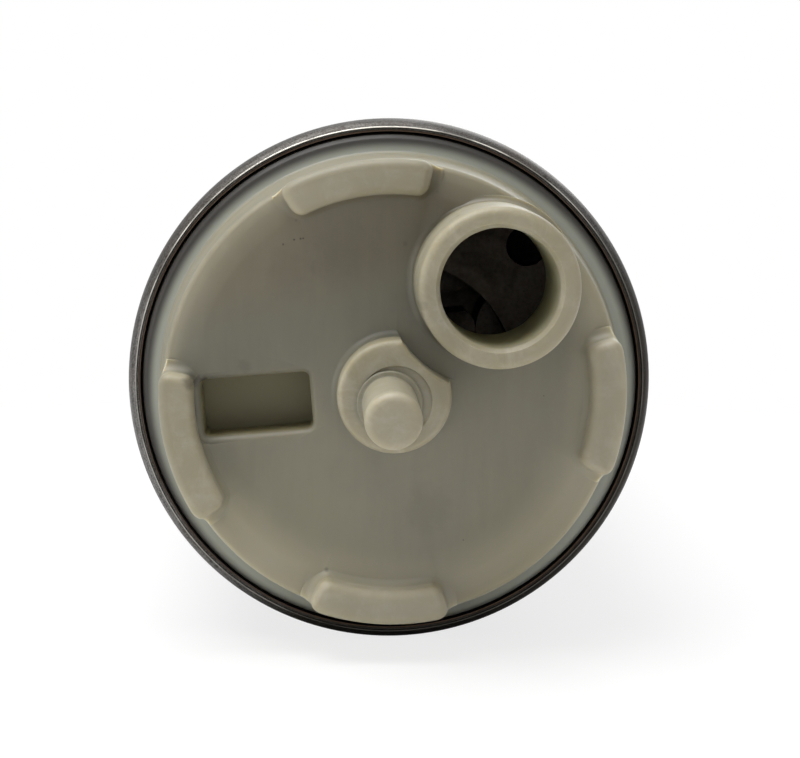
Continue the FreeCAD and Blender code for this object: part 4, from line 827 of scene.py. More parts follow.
class Bench:
    """Shapes objects with Blender's own operators, in millimetres of the pump's frame."""

    @staticmethod
    def clear() -> None:
        """Leaves nothing selected."""
        if bpy.context.object and bpy.context.object.mode != "OBJECT":
            bpy.ops.object.mode_set(mode="OBJECT")
        for thing in bpy.context.selected_objects:
            thing.select_set(False)

    @staticmethod
    def hold(thing: Thing) -> None:
        """Selects one object alone and makes it active.

        Args:
            thing: The object.
        """
        Bench.clear()
        thing.select_set(True)
        bpy.context.view_layer.objects.active = thing

    @staticmethod
    def pick(kind: str, wanted: Optional[EdgeTest] = None) -> int:
        """Selects all that is in edit mode, or the edges that pass a test.

        Args:
            kind: "VERT", "EDGE" or "FACE".
            wanted: The test of an edge.

        Returns:
            How many edges passed.
        """
        bpy.ops.mesh.select_mode(type=kind)
        bpy.ops.mesh.select_all(action="DESELECT" if wanted else "SELECT")
        if not wanted:
            return 0
        mesh = bpy.context.object.data
        form = bmesh.from_edit_mesh(mesh)
        form.normal_update()
        passed = [edge for edge in form.edges if wanted(edge)]
        for edge in passed:
            edge.select_set(True)
        bmesh.update_edit_mesh(mesh)
        return len(passed)

    @staticmethod
    def merge(gap: float = MERGE_GAP) -> None:
        """Merges doubles in edit mode."""
        bpy.ops.mesh.select_all(action="SELECT")
        bpy.ops.mesh.remove_doubles(threshold=gap)

    @staticmethod
    def tidy() -> None:
        """Merges doubles and turns every face outwards, in edit mode."""
        Bench.merge()
        bpy.ops.mesh.normals_make_consistent(inside=False)

    @staticmethod
    def draw(points: Sequence[Spot]) -> Thing:
        """Draws a line of edges through points, and stays in edit mode.

        Args:
            points: The points.

        Returns:
            The object that holds the line.
        """
        Bench.clear()
        bpy.ops.mesh.primitive_plane_add(size=1.0)
        bpy.ops.object.mode_set(mode="EDIT")
        Bench.pick("VERT")
        bpy.ops.mesh.merge(type="CENTER")
        bpy.ops.transform.translate(value=points[0])
        for last, point in zip(points, points[1:]):
            step = tuple(after - before for before, after in zip(last, point))
            bpy.ops.mesh.extrude_region_move(TRANSFORM_OT_translate={"value": step})
        return bpy.context.object

    @staticmethod
    def lathe(outline: Sequence[Point], centre: Point = (0.0, 0.0), steps: int = ROUND_STEPS) -> Thing:
        """Turns an outline about an axis that runs along Z.

        Args:
            outline: Points (radius, height) of a closed section, or an open one from axis to axis.
            centre: Place of the axis.
            steps: Flats round the whole turn.

        Returns:
            The turned solid.
        """
        closed = outline[0][0] > MERGE_GAP or outline[-1][0] > MERGE_GAP
        points = [*outline, outline[0]] if closed else outline
        thing = Bench.draw([(radius, 0.0, height) for radius, height in points])
        if closed:
            Bench.merge()
        bpy.ops.mesh.select_all(action="SELECT")
        bpy.ops.mesh.spin(steps=steps, angle=2 * math.pi, center=(0.0, 0.0, 0.0), axis=(0.0, 0.0, 1.0))
        Bench.tidy()
        bpy.ops.transform.translate(value=(*centre, 0.0))
        bpy.ops.object.mode_set(mode="OBJECT")
        return thing

    @staticmethod
    def drum(radius: float, first: float, last: float, centre: Point = (0.0, 0.0),
             steps: int = ROUND_STEPS) -> Thing:
        """Turns a plain drum between two heights."""
        return Bench.lathe([(0.0, first), (radius, first), (radius, last), (0.0, last)], centre, steps)

    @staticmethod
    def prism(plan: Sequence[Point], low: float, rises: Sequence[Point]) -> Thing:
        """Raises a plan in steps, each with an inset of its own.

        Args:
            plan: Points (x, y) of the closed plan.
            low: Height of the first face.
            rises: Pairs of an inset and a rise; the first has no inset.

        Returns:
            The solid.
        """
        thing = Bench.draw([(x, y, low) for x, y in (*plan, plan[0])])
        Bench.merge()
        bpy.ops.mesh.select_all(action="SELECT")
        bpy.ops.mesh.edge_face_add()
        Bench.pick("FACE")
        for inset, rise in rises:
            shift = (0.0, 0.0, rise)
            if inset:
                bpy.ops.mesh.inset(thickness=inset, depth=0.0)
                bpy.ops.transform.translate(value=shift)
            else:
                bpy.ops.mesh.extrude_region_move(TRANSFORM_OT_translate={"value": shift})
        bpy.ops.mesh.select_mode(type="VERT")
        Bench.tidy()
        bpy.ops.object.mode_set(mode="OBJECT")
        return thing

    @staticmethod
    def block(middle: Spot, size: Spot, turn: float = 0.0, corner: float = 0.0) -> Thing:
        """A block, with round upright corners where they are asked for.

        Args:
            middle: Centre of the block.
            size: Breadth, depth and height.
            turn: Turn about Z in degrees.
            corner: Radius of the upright corners.

        Returns:
            The block.
        """
        Bench.clear()
        bpy.ops.mesh.primitive_cube_add(size=1.0, location=middle, scale=size,
                                        rotation=(0.0, 0.0, math.radians(turn)))
        thing = bpy.context.object
        bpy.ops.object.transform_apply(location=True, rotation=True, scale=True)
        bpy.ops.object.mode_set(mode="EDIT")
        if corner:
            rise = size[2] * UPRIGHT_SHARE
            Bench.pick("EDGE", lambda edge: abs(edge.verts[0].co.z - edge.verts[1].co.z) > rise)
            bpy.ops.mesh.bevel(offset=corner, segments=CORNER_STEPS, affect="EDGES")
        Bench.tidy()
        bpy.ops.object.mode_set(mode="OBJECT")
        return thing

    @staticmethod
    def round_edges(thing: Thing, wanted: EdgeTest, radius: float, segments: int) -> None:
        """Rounds the edges that pass a test.

        Args:
            thing: The object.
            wanted: The test of an edge.
            radius: Breadth of the rounding.
            segments: Flats in it.
        """
        Bench.hold(thing)
        bpy.ops.object.mode_set(mode="EDIT")
        if Bench.pick("EDGE", wanted):
            bpy.ops.mesh.bevel(offset=radius, segments=segments, affect="EDGES", clamp_overlap=True)
        bpy.ops.object.mode_set(mode="OBJECT")

    @staticmethod
    def join(thing: Thing, tools: Iterable[Thing], operation: str) -> None:
        """Adds the forms of several objects to one, or cuts them out of it.

        Args:
            thing: The object that stays.
            tools: The objects that are used up.
            operation: "UNION" or "DIFFERENCE".
        """
        for tool in tools:
            Bench.hold(thing)
            change = thing.modifiers.new("Join", "BOOLEAN")
            change.operation = operation
            change.solver = "EXACT"
            change.object = tool
            bpy.ops.object.modifier_apply(modifier=change.name)
            bpy.data.objects.remove(tool, do_unlink=True)
            bpy.ops.object.mode_set(mode="EDIT")
            bpy.ops.mesh.select_mode(type="VERT")
            Bench.merge(JOIN_GAP)
            bpy.ops.object.mode_set(mode="OBJECT")

    @staticmethod
    def fuse(thing: Thing, *tools: Thing) -> None:
        """Adds the forms of other objects to one."""
        Bench.join(thing, tools, "UNION")

    @staticmethod
    def carve(thing: Thing, *tools: Thing) -> None:
        """Cuts the forms of other objects out of one."""
        Bench.join(thing, tools, "DIFFERENCE")

    @staticmethod
    def lay(thing: Thing, name: str, node: str, finish: Material,
            angle: float = SMOOTH_ANGLE) -> Thing:
        """Moves a finished piece into the row's frame, dresses it and hands it over.

        Args:
            thing: The piece, in millimetres of the pump's frame.
            name: Its name.
            node: The CAD node that it replaces, whose slot it takes.
            finish: Its material.
            angle: Edges flatter than this are shaded smooth.

        Returns:
            The piece.
        """
        Bench.hold(thing)
        thing.rotation_euler = (math.pi / 2, 0.0, 0.0)
        thing.scale = (MM, MM, MM)
        thing.location = (0.0, RIM_Y * MM, 0.0)
        bpy.ops.object.transform_apply(location=True, rotation=True, scale=True)
        bpy.ops.object.shade_smooth_by_angle(angle=angle)
        thing.name = thing.data.name = name
        thing.data.materials.clear()
        thing.data.materials.append(finish)
        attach(thing, "pump_body")
        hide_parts(node)
        LOG.info("%s: %d faces, replaces %s", name, len(thing.data.polygons), node)
        Bench.clear()
        return thing


# Pieces

@dataclass
class Shell:
    """Drawn steel tube with a rolled lip at each end."""

    radius: float = 19.04
    bore: float = 18.05
    lip: float = 18.08
    burr_glint: float = 18.41
    length: float = 80.0
    step: float = 2.0
    seat: float = 4.4
    flats: int = 192

    def make(self, finish: Material) -> None:
        """Builds the tube.

        Args:
            finish: Its material.
        """
        outline = [*self._lip(0.0, UP), (self.bore, -self.seat), (self.bore, -self.length + self.seat),
                   *self._lip(-self.length, DOWN)[::-1]]
        Bench.lay(Bench.lathe(outline, steps=self.flats), "shell_tube", "shell", finish, LIP_ANGLE)

    def _lip(self, face: float, way: float) -> list[Point]:
        """Points of one end, from the outside over the lip to the seat inside.

        Args:
            face: Height of the lip's face.
            way: 1 where the tube lies below the face, -1 where above.

        Returns:
            The points.
        """
        drops = [
            (self.radius, 8.0),
            (self.radius, 1.45),
            (self.radius - 0.02, 1.15),
            (self.radius - 0.07, 0.85),
            (self.radius - 0.15, 0.58),
            (self.radius - 0.26, 0.34),
            (self.radius - 0.39, 0.17),
            (self.burr_glint + 0.13, 0.08),
            (self.burr_glint + 0.07, 0.05),
            (self.burr_glint + 0.03, 0.0),
            (self.burr_glint - 0.03, 0.0),
            (self.burr_glint - 0.09, 0.10),
            (self.lip + 0.14, 0.12),
            (self.lip + 0.08, 0.05),
            (self.lip + 0.02, 0.06),
            (self.lip, 0.14),
            (self.lip, 0.8),
            (self.radius - 0.5, self.step),
            (self.radius - 0.5, self.seat),
        ]
        return [(radius, face - way * drop) for radius, drop in drops]


@dataclass
class Castle:
    """One castellation: first side and span in degrees."""

    start: float
    span: float


@dataclass(frozen=True)
class InletRoots:
    """Height over the disc's underside where each form ends in it, all unlike so that no faces meet."""

    castle: float = 0.3
    boss: float = 0.5
    spigot: float = 0.4
    peg: float = 0.2
    post: float = 0.1
    box: float = 0.15
    rib: float = 0.05


@dataclass(frozen=True)
class InletFlats:
    """Flats round each form of the inlet cap."""

    castle: int = 320
    boss: int = 96
    relief: int = 128
    well: int = 96
    spigot: int = 128
    peg: int = 72
    post: int = 64
    bore: int = 112


@dataclass
class InletCap:
    """Moulded inlet cap with castellations, an offset spigot, a strainer peg and a pocket."""

    face: float = 5.8
    under: float = 3.4
    disc: float = 16.02
    foot: float = 16.6
    collar: float = 17.98
    castle_inner: float = 13.8
    castle_outer: float = 16.25
    castle_top: float = 8.0
    castle_corner: float = 0.8
    castle_round: float = 0.62
    castle_foot: float = 0.8
    castle_base: float = 0.12
    castle_set_in: float = 0.2
    castles: tuple[Castle, ...] = (Castle(80.5, 38.3), Castle(175.0, 38.5), Castle(249.0, 35.0),
                                   Castle(339.0, 34.7))
    spigot: Point = (6.9, 7.78)
    spigot_radius: float = 5.4
    spigot_bore: float = 4.0
    spigot_top: float = 13.8
    spigot_draft: float = 0.1
    spigot_foot: float = 0.45
    spigot_brow: float = 0.6
    boss: Point = (0.06, -0.06)
    boss_radius: float = 3.95
    boss_top: float = 8.8
    boss_relief: float = 7.5
    boss_foot: float = 0.7
    boss_brow: float = 0.45
    relief_brow: float = 0.3
    well: Point = (0.15, -0.39)
    well_radius: float = 2.5
    well_depth: float = 0.18
    peg: Point = (-0.28, -0.52)
    peg_radius: float = 1.9
    peg_top: float = 18.4
    peg_brow: float = 0.6
    peg_foot: float = 2.3
    peg_foot_top: float = 8.85
    pocket: Point = (-9.51, -0.94)
    pocket_size: Point = (7.67, 4.03)
    pocket_turn: float = 4.7
    pocket_floor: float = 1.8
    pocket_mouth: float = 0.5
    ring: tuple[Spot, ...] = ((0.0, 0.3, 0.25), (0.5, 0.2, 0.4), (1.0, 0.08, 0.3))
    brim: float = -0.15
    collar_step: float = -0.6
    collar_foot: float = -1.7
    seat_top: float = -2.05
    seat_foot: float = -4.4
    seat: float = 18.5
    fit: float = 18.0
    skirt: float = 15.6
    skirt_face: float = -8.0
    dish: float = 0.2
    dish_radius: float = 10.5
    crown_radius: float = 13.9
    crown_drop: float = 0.4
    post_radius: float = 3.4
    pocket_wall: float = 1.3
    pocket_corner: float = 0.45
    rib_wall: float = 1.4
    rib_start: float = 222.0
    rib_pitch: float = 38.0
    rib_count: int = 3
    roots: InletRoots = InletRoots()
    flats: InletFlats = InletFlats()

    def make(self, finish: Material) -> None:
        """Builds the cap.

        Args:
            finish: Its material.
        """
        cap = self._disc()
        Bench.fuse(cap, *[self._castle(castle) for castle in self.castles])
        Bench.fuse(cap, self._boss(), self._tube(), self._stem(), *self._inside())
        Bench.carve(cap, *self._hollows())
        Bench.lay(cap, "inlet_cap_moulding", "inlet_cap", finish)

    def _disc(self) -> Thing:
        """The raised disc, the pale ring beside the lip and the skirt.

        Returns:
            The solid.
        """
        outline = soften([
            (0.0, self.face - self.dish),
            (self.dish_radius, self.face - self.dish * 0.75, 9.0),
            (self.crown_radius, self.face, 2.0),
            (self.disc - 0.9, self.face - self.crown_drop * 0.45, 1.5),
            (self.disc, self.face - self.crown_drop, 0.5),
            *((self.foot + out, height, corner) for out, height, corner in self.ring),
            (self.collar - 0.08, self.brim, 0.2),
            (self.collar, self.collar_step),
            (self.collar, self.collar_foot),
            (self.seat, self.seat_top),
            (self.seat, self.seat_foot),
            (self.fit, self.seat_foot),
            (self.fit, self.skirt_face),
            (self.skirt, self.skirt_face),
            (self.skirt, self.under),
            (0.0, self.under),
        ])
        return Bench.lathe(outline)

    def _castle(self, castle: Castle) -> Thing:
        """One castellation, round at its corners and soft at its top.

        Args:
            castle: Its place.

        Returns:
            The solid.
        """
        flare, brow = self.castle_foot, self.castle_round
        widen = math.degrees(flare / self.castle_inner)
        plan = sector(self.castle_inner - flare, self.castle_outer + flare, castle.start - widen,
                      castle.span + 2 * widen, self.castle_corner + flare)
        low, base = self.under + self.roots.castle, self.face - self.castle_base
        solid = Bench.prism(plan, low, [(0.0, base - low), *foot_steps(flare),
                                        (0.0, self.castle_top - base - flare - brow), *brow_steps(brow)])
        edge, foot = self.castle_outer + 0.02, self.disc - self.castle_set_in
        Bench.carve(solid, Bench.lathe([(foot, low - 1), (edge + 3, low - 1), (edge + 3, self.castle_top + 1),
                                        (edge, self.castle_top + 1), (edge, base + flare),
                                        (foot, base - 0.25)], steps=self.flats.castle))
        return solid

    def _boss(self) -> Thing:
        """The centre boss, hollowed about the spigot, with a well round the peg.

        Returns:
            The solid.
        """
        top, deep, root = self.boss_top, self.boss_top - self.well_depth, self.under + self.roots.boss
        foot = flared(self.boss_radius, self.face - self.dish - 0.03, self.boss_foot)
        section = [(0.0, root), (foot[0][0], root), *foot,
                   *soften([(self.boss_radius, top - 0.5), (self.boss_radius, top, self.boss_brow),
                            (0.0, top)])[1:]]
        boss = Bench.lathe(section, self.boss, self.flats.boss)
        low = self.face - 0.6
        brow = flared(self.boss_relief, top + 0.003, self.relief_brow, DOWN)
        Bench.carve(boss, Bench.lathe([(0.0, low), (self.boss_relief, low), *brow[::-1], (brow[0][0], top + 1),
                                       (0.0, top + 1)], self.spigot, self.flats.relief))
        Bench.carve(boss, Bench.lathe(soften([(0.0, deep), (self.well_radius, deep, 0.2),
                                              (self.well_radius + 0.15, top + 1), (0.0, top + 1)]),
                                      self.well, self.flats.well))
        return boss

    def _tube(self) -> Thing:
        """The spigot's outside, with a little draft.

        Returns:
            The solid.
        """
        radius, top, root = self.spigot_radius, self.spigot_top, self.under + self.roots.spigot
        foot = flared(radius + self.spigot_draft, self.face - 0.12, self.spigot_foot)
        section = [(0.0, root), (foot[0][0], root), *foot,
                   *soften([(radius + self.spigot_draft / 2, top - 1.0), (radius, top, self.spigot_brow),
                            (0.0, top)])[1:]]
        return Bench.lathe(section, self.spigot, self.flats.spigot)

    def _stem(self) -> Thing:
        """The strainer peg on its wider foot.

        Returns:
            The solid.
        """
        root, step, top = self.under + self.roots.peg, self.peg_foot_top, self.peg_top
        section = soften([(0.0, root), (self.peg_foot, root), (self.peg_foot, step, 0.15),
                          (self.peg_radius, step, 0.1), (self.peg_radius, top, self.peg_brow), (0.0, top)])
        return Bench.lathe(section, self.peg, self.flats.peg)

    def _inside(self) -> list[Thing]:
        """Post, pocket box and ribs under the disc.

        Returns:
            The solids.
        """
        wall, under, roots = self.pocket_wall, self.under, self.roots
        low, high = self.pocket_floor - wall, under + roots.box
        parts = [Bench.drum(self.post_radius, self.skirt_face, under + roots.post, steps=self.flats.post),
                 Bench.block((*self.pocket, (low + high) / 2),
                             (self.pocket_size[0] + 2 * wall, self.pocket_size[1] + 2 * wall, high - low),
                             self.pocket_turn)]
        reach, foot = self.skirt + 0.3, self.skirt_face + self.rib_wall
        for step in range(self.rib_count):
            angle = self.rib_start + self.rib_pitch * step
            way = math.radians(angle)
            middle = (reach / 2 * math.cos(way), reach / 2 * math.sin(way), (foot + under) / 2)
            parts.append(Bench.block(middle, (reach, self.rib_wall, under + roots.rib - foot), angle))
        return parts

    def _hollows(self) -> list[Thing]:
        """The pocket and the spigot's bore.

        Returns:
            The solids to cut out.
        """
        mouth = self.pocket_mouth
        plan = rectangle(self.pocket, (self.pocket_size[0] + 2 * mouth, self.pocket_size[1] + 2 * mouth),
                         self.pocket_corner + mouth, self.pocket_turn)
        brim, high = self.face - 0.13, self.spigot_top + 0.3
        pocket = Bench.prism(plan, self.face + 1, [(0.0, brim - self.face - 1), *foot_steps(mouth, DOWN),
                                                   (0.0, self.pocket_floor + mouth - brim)])
        bore = Bench.lathe(soften([(0.0, self.under - 1), (self.spigot_bore, self.under - 1),
                                   (self.spigot_bore, self.spigot_top - 0.3, 0.3),
                                   (self.spigot_bore + 0.6, high), (0.0, high)]),
                           self.spigot, self.flats.bore)
        return [pocket, bore]


@dataclass(frozen=True)
class OutletFlats:
    """Flats round each form of the outlet cap."""

    room: int = 72
    nipple: int = 112
    tower: int = 80
    bore: int = 80
    relief: int = 64
    mouth: int = 48


@dataclass
class OutletCap:
    """Moulded outlet cap with a barbed nipple, the relief valve's tower and the plug shroud."""

    face: float = -83.0
    under: float = -80.4
    front: float = -72.0
    crown: float = 16.4
    crown_foot: float = -78.1
    seat: float = 18.5
    seat_back: float = -77.95
    seat_front: float = -75.6
    fit: float = 18.0
    skirt: float = 15.6
    nipple: Point = (0.0, 6.6)
    nipple_radius: float = 4.0
    nipple_bore: float = 2.8
    nipple_tip: float = -100.599
    foot_radius: float = 6.2
    foot_back: float = -88.0
    barb: float = 0.6
    barb_length: float = 3.0
    chamber_radius: float = 4.2
    chamber_wall: float = 1.2
    chamber_back: float = -85.4
    chamber_front: float = -73.5
    relief: Point = (-9.4, -1.6)
    relief_radius: float = 3.8
    relief_back: float = -87.0
    relief_room: float = 2.2
    relief_mouth: float = 1.2
    relief_seat: float = -76.5
    relief_front: float = -75.5
    plug: Point = (3.2, -8.2)
    plug_size: Point = (14.0, 8.4)
    plug_wall: float = 1.3
    plug_corner: float = 1.6
    plug_back: float = -92.5
    blade_pitch: float = 5.6
    blade_slot: Point = (2.9, 0.9)
    slot_depth: float = 4.6
    latch: Point = (4.0, 1.65)
    latch_span: Point = (-91.4, -89.2)
    seal_groove: Point = (-74.42, -72.84)
    groove_radius: float = 16.46
    foot_flare: float = 0.6
    foot_sink: float = 0.02
    plug_brow: float = 0.35
    latch_slope: float = 0.8
    latch_round: float = 0.15
    flats: OutletFlats = OutletFlats()

    def make(self, finish: Material) -> None:
        """Builds the cap.

        Args:
            finish: Its material.
        """
        cap = self._disc()
        Bench.fuse(cap, *self._rooms(), self._nipple(), self._tower(), self._shroud(), self._latch())
        Bench.carve(cap, *self._hollows())
        Bench.lay(cap, "outlet_cap_moulding", "outlet_cap", finish)

    def _disc(self) -> Thing:
        """The cap's face, its seat under the rolled lip and its skirt with the seal's groove.

        Returns:
            The solid.
        """
        low, high = self.seal_groove
        outline = soften([
            (0.0, self.face),
            (self.crown, self.face, 0.6),
            (self.crown + 0.1, self.crown_foot, 0.2),
            (self.seat, self.seat_back),
            (self.seat, self.seat_front),
            (self.fit, self.seat_front),
            (self.fit, low),
            (self.groove_radius, low),
            (self.groove_radius, high),
            (self.fit, high),
            (self.fit, self.front),
            (self.skirt, self.front),
            (self.skirt, self.under),
            (0.0, self.under),
        ])
        return Bench.lathe(outline)

    def _rooms(self) -> list[Thing]:
        """The walls of the two valves' rooms inside the cap.

        Returns:
            The solids.
        """
        high = self.under - 0.4
        chamber, flats = self.chamber_radius + self.chamber_wall, self.flats.room
        return [Bench.drum(chamber, high, self.chamber_front, self.nipple, flats),
                Bench.drum(self.relief_radius, high, self.relief_front, self.relief, flats)]

    def _nipple(self) -> Thing:
        """The barbed nipple on its thick foot.

        Returns:
            The solid.
        """
        barb_root, root = self.nipple_tip + self.barb_length, self.under - 1.0
        foot = flared(self.foot_radius, self.face + self.foot_sink, self.foot_flare, DOWN)
        outline = [(0.0, root), (foot[0][0], root), *foot] + soften([
            (self.foot_radius, self.foot_back + 0.6),
            (self.foot_radius - 0.05, self.foot_back, 0.5),
            (self.nipple_radius, self.foot_back, 0.6),
            (self.nipple_radius, barb_root + self.barb_length, 0.2),
            (self.nipple_radius + self.barb, barb_root + self.barb_length, 0.12),
            (self.nipple_radius, barb_root, 0.1),
            (self.nipple_radius + self.barb, barb_root, 0.12),
            (self.nipple_radius - self.barb / 2, self.nipple_tip, 0.2),
            (0.0, self.nipple_tip),
        ], 4)
        return Bench.lathe(outline, self.nipple, self.flats.nipple)

    def _tower(self) -> Thing:
        """The relief valve's tower.

        Returns:
            The solid.
        """
        root = self.under - 0.8
        foot = flared(self.relief_radius, self.face + self.foot_sink, self.foot_flare, DOWN)
        outline = [(0.0, root), (foot[0][0], root), *foot] + soften([
            (self.relief_radius, self.relief_back + 0.6),
            (self.relief_radius - 0.05, self.relief_back, 0.45),
            (0.0, self.relief_back),
        ])
        return Bench.lathe(outline, self.relief, self.flats.tower)

    def _shroud(self) -> Thing:
        """The plug's shroud, still solid.

        Returns:
            The solid.
        """
        top, base, flare, brow = self.under - 0.7, self.face + self.foot_sink, self.foot_flare, self.plug_brow
        plan = rectangle(self.plug, (self.plug_size[0] + 2 * flare, self.plug_size[1] + 2 * flare),
                         self.plug_corner + flare)
        return Bench.prism(plan, top, [(0.0, base - top), *foot_steps(flare, DOWN),
                                       (0.0, self.plug_back + brow - base + flare), *brow_steps(brow, DOWN)])

    def _latch(self) -> Thing:
        """The latch nose on the shroud, sloped on the side where the plug comes on.

        Returns:
            The solid.
        """
        low, high = self.latch_span
        depth = self.plug[1] - self.plug_size[1] / 2 - 0.5 + self.plug_wall / 4
        latch = Bench.block((self.plug[0], depth, (low + high) / 2), (*self.latch, high - low))
        nose = (depth - self.latch[1] / 2, low)
        Bench.round_edges(latch, lambda edge: all(math.dist(v.co.yz, nose) < MERGE_GAP for v in edge.verts),
                          self.latch_slope, 1)
        Bench.round_edges(latch, lambda edge: edge.calc_face_angle(0.0) > SHARP_ANGLE, self.latch_round, 3)
        return latch

    def _hollows(self) -> list[Thing]:
        """The bore, the rooms of the valves, the plug's socket and the blades' slots.

        Returns:
            The solids to cut out.
        """
        depth, wall = self.face - self.plug_back + 1, self.plug_wall
        tip, back, mouth = self.nipple_tip, self.relief_back, self.front + 1
        slot, deep = (*self.blade_slot, self.slot_depth), (self.face + self.under) / 2
        slots = [Bench.block((self.plug[0] + side * self.blade_pitch, self.plug[1], deep), slot)
                 for side in (-0.5, 0.5)]
        return [
            Bench.lathe([(0.0, self.face), (self.nipple_bore, self.face), (self.nipple_bore, tip + 0.3),
                         (self.nipple_bore + 0.4, tip - 0.1), (0.0, tip - 0.1)], self.nipple, self.flats.bore),
            Bench.drum(self.chamber_radius, self.chamber_back, mouth, self.nipple, self.flats.bore),
            Bench.lathe([(0.0, self.relief_seat), (self.relief_room, self.relief_seat),
                         (self.relief_room, back + 0.25), (self.relief_room + 0.35, back - 0.1),
                         (0.0, back - 0.1)], self.relief, self.flats.relief),
            Bench.drum(self.relief_mouth, self.relief_seat - 1, self.relief_front + 1, self.relief,
                       self.flats.mouth),
            Bench.block((*self.plug, self.face - depth / 2),
                        (self.plug_size[0] - 2 * wall, self.plug_size[1] - 2 * wall, depth), corner=0.5),
            *slots,
        ]


@dataclass(frozen=True)
class Spring:
    """One coil spring: its node, its joint, its axis, the heights of its ends and its travel."""

    node: str
    joint: str
    axis: Point
    front: float
    back: float
    radius: float
    travel: float


@dataclass
class Springs:
    """Coil springs behind the brushes and the two valves."""

    wire: float = 0.4
    turns: int = 5
    steps: int = 28
    sides: int = 12
    brush_pitch: float = 13.8
    brush: Spring = Spring("brush_spring_left", "brush_left_slide", (-6.9, 0.0), -67.07, -71.98, 1.5, 2.0)
    brush_twin: Spring = Spring("brush_spring_right", "brush_right_slide", (6.9, 0.0), -67.07, -71.98, 1.5, 2.0)
    valves: tuple[Spring, ...] = (
        Spring("check_spring", "check_valve_lift", (0.0, 6.6), -76.77, -83.58, 2.2, 1.8),
        Spring("relief_spring", "relief_valve_lift", (-9.4, -1.6), -79.93, -84.78, 1.5, 1.0))

    def make(self, finish: Material) -> None:
        """Builds the four springs.

        Args:
            finish: Their material.
        """
        coil = self._coil(self.brush)
        twin = coil.copy()
        twin.data = coil.data.copy()
        bpy.context.scene.collection.objects.link(twin)
        Bench.hold(twin)
        bpy.ops.object.mode_set(mode="EDIT")
        Bench.pick("VERT")
        bpy.ops.transform.translate(value=(self.brush_pitch, 0.0, 0.0))
        bpy.ops.object.mode_set(mode="OBJECT")
        self._hand_over(coil, self.brush, finish)
        self._hand_over(twin, self.brush_twin, finish)
        for spring in self.valves:
            self._hand_over(self._coil(spring), spring, finish)

    def _coil(self, spring: Spring) -> Thing:
        """Winds one coil from a round section.

        Args:
            spring: Its sizes.

        Returns:
            The closed coil.
        """
        Bench.clear()
        low = spring.back + self.wire / 2
        bpy.ops.mesh.primitive_circle_add(vertices=self.sides, radius=self.wire / 2,
                                          location=(spring.radius, 0.0, low),
                                          rotation=(math.pi / 2, 0.0, 0.0))
        coil = bpy.context.object
        bpy.ops.object.transform_apply(location=True, rotation=True, scale=True)
        wind = coil.modifiers.new("Wind", "SCREW")
        wind.axis = "Z"
        wind.angle = 2 * math.pi
        wind.screw_offset = (spring.front - spring.back - self.wire) / self.turns
        wind.iterations = self.turns
        wind.steps = wind.render_steps = self.steps
        bpy.ops.object.modifier_apply(modifier=wind.name)
        bpy.ops.object.mode_set(mode="EDIT")
        Bench.pick("VERT")
        bpy.ops.mesh.fill_holes(sides=self.sides)
        Bench.tidy()
        bpy.ops.transform.translate(value=(*spring.axis, 0.0))
        bpy.ops.object.mode_set(mode="OBJECT")
        return coil

    def _hand_over(self, coil: Thing, spring: Spring, finish: Material) -> None:
        """Lays a coil in place.

        Args:
            coil: The coil.
            spring: Its sizes.
            finish: Its material.
        """
        piece = Bench.lay(coil, spring.node + "_coil", spring.node, finish)
        length = spring.front - spring.back
        (length - spring.travel) / length
        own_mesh(piece)


# Studio

@dataclass(frozen=True)
class Lamp:
    """A square soft lamp: its place and its target in metres, its side and its watts."""

    name: str
    place: Spot
    target: Spot
    side: float
    power: float


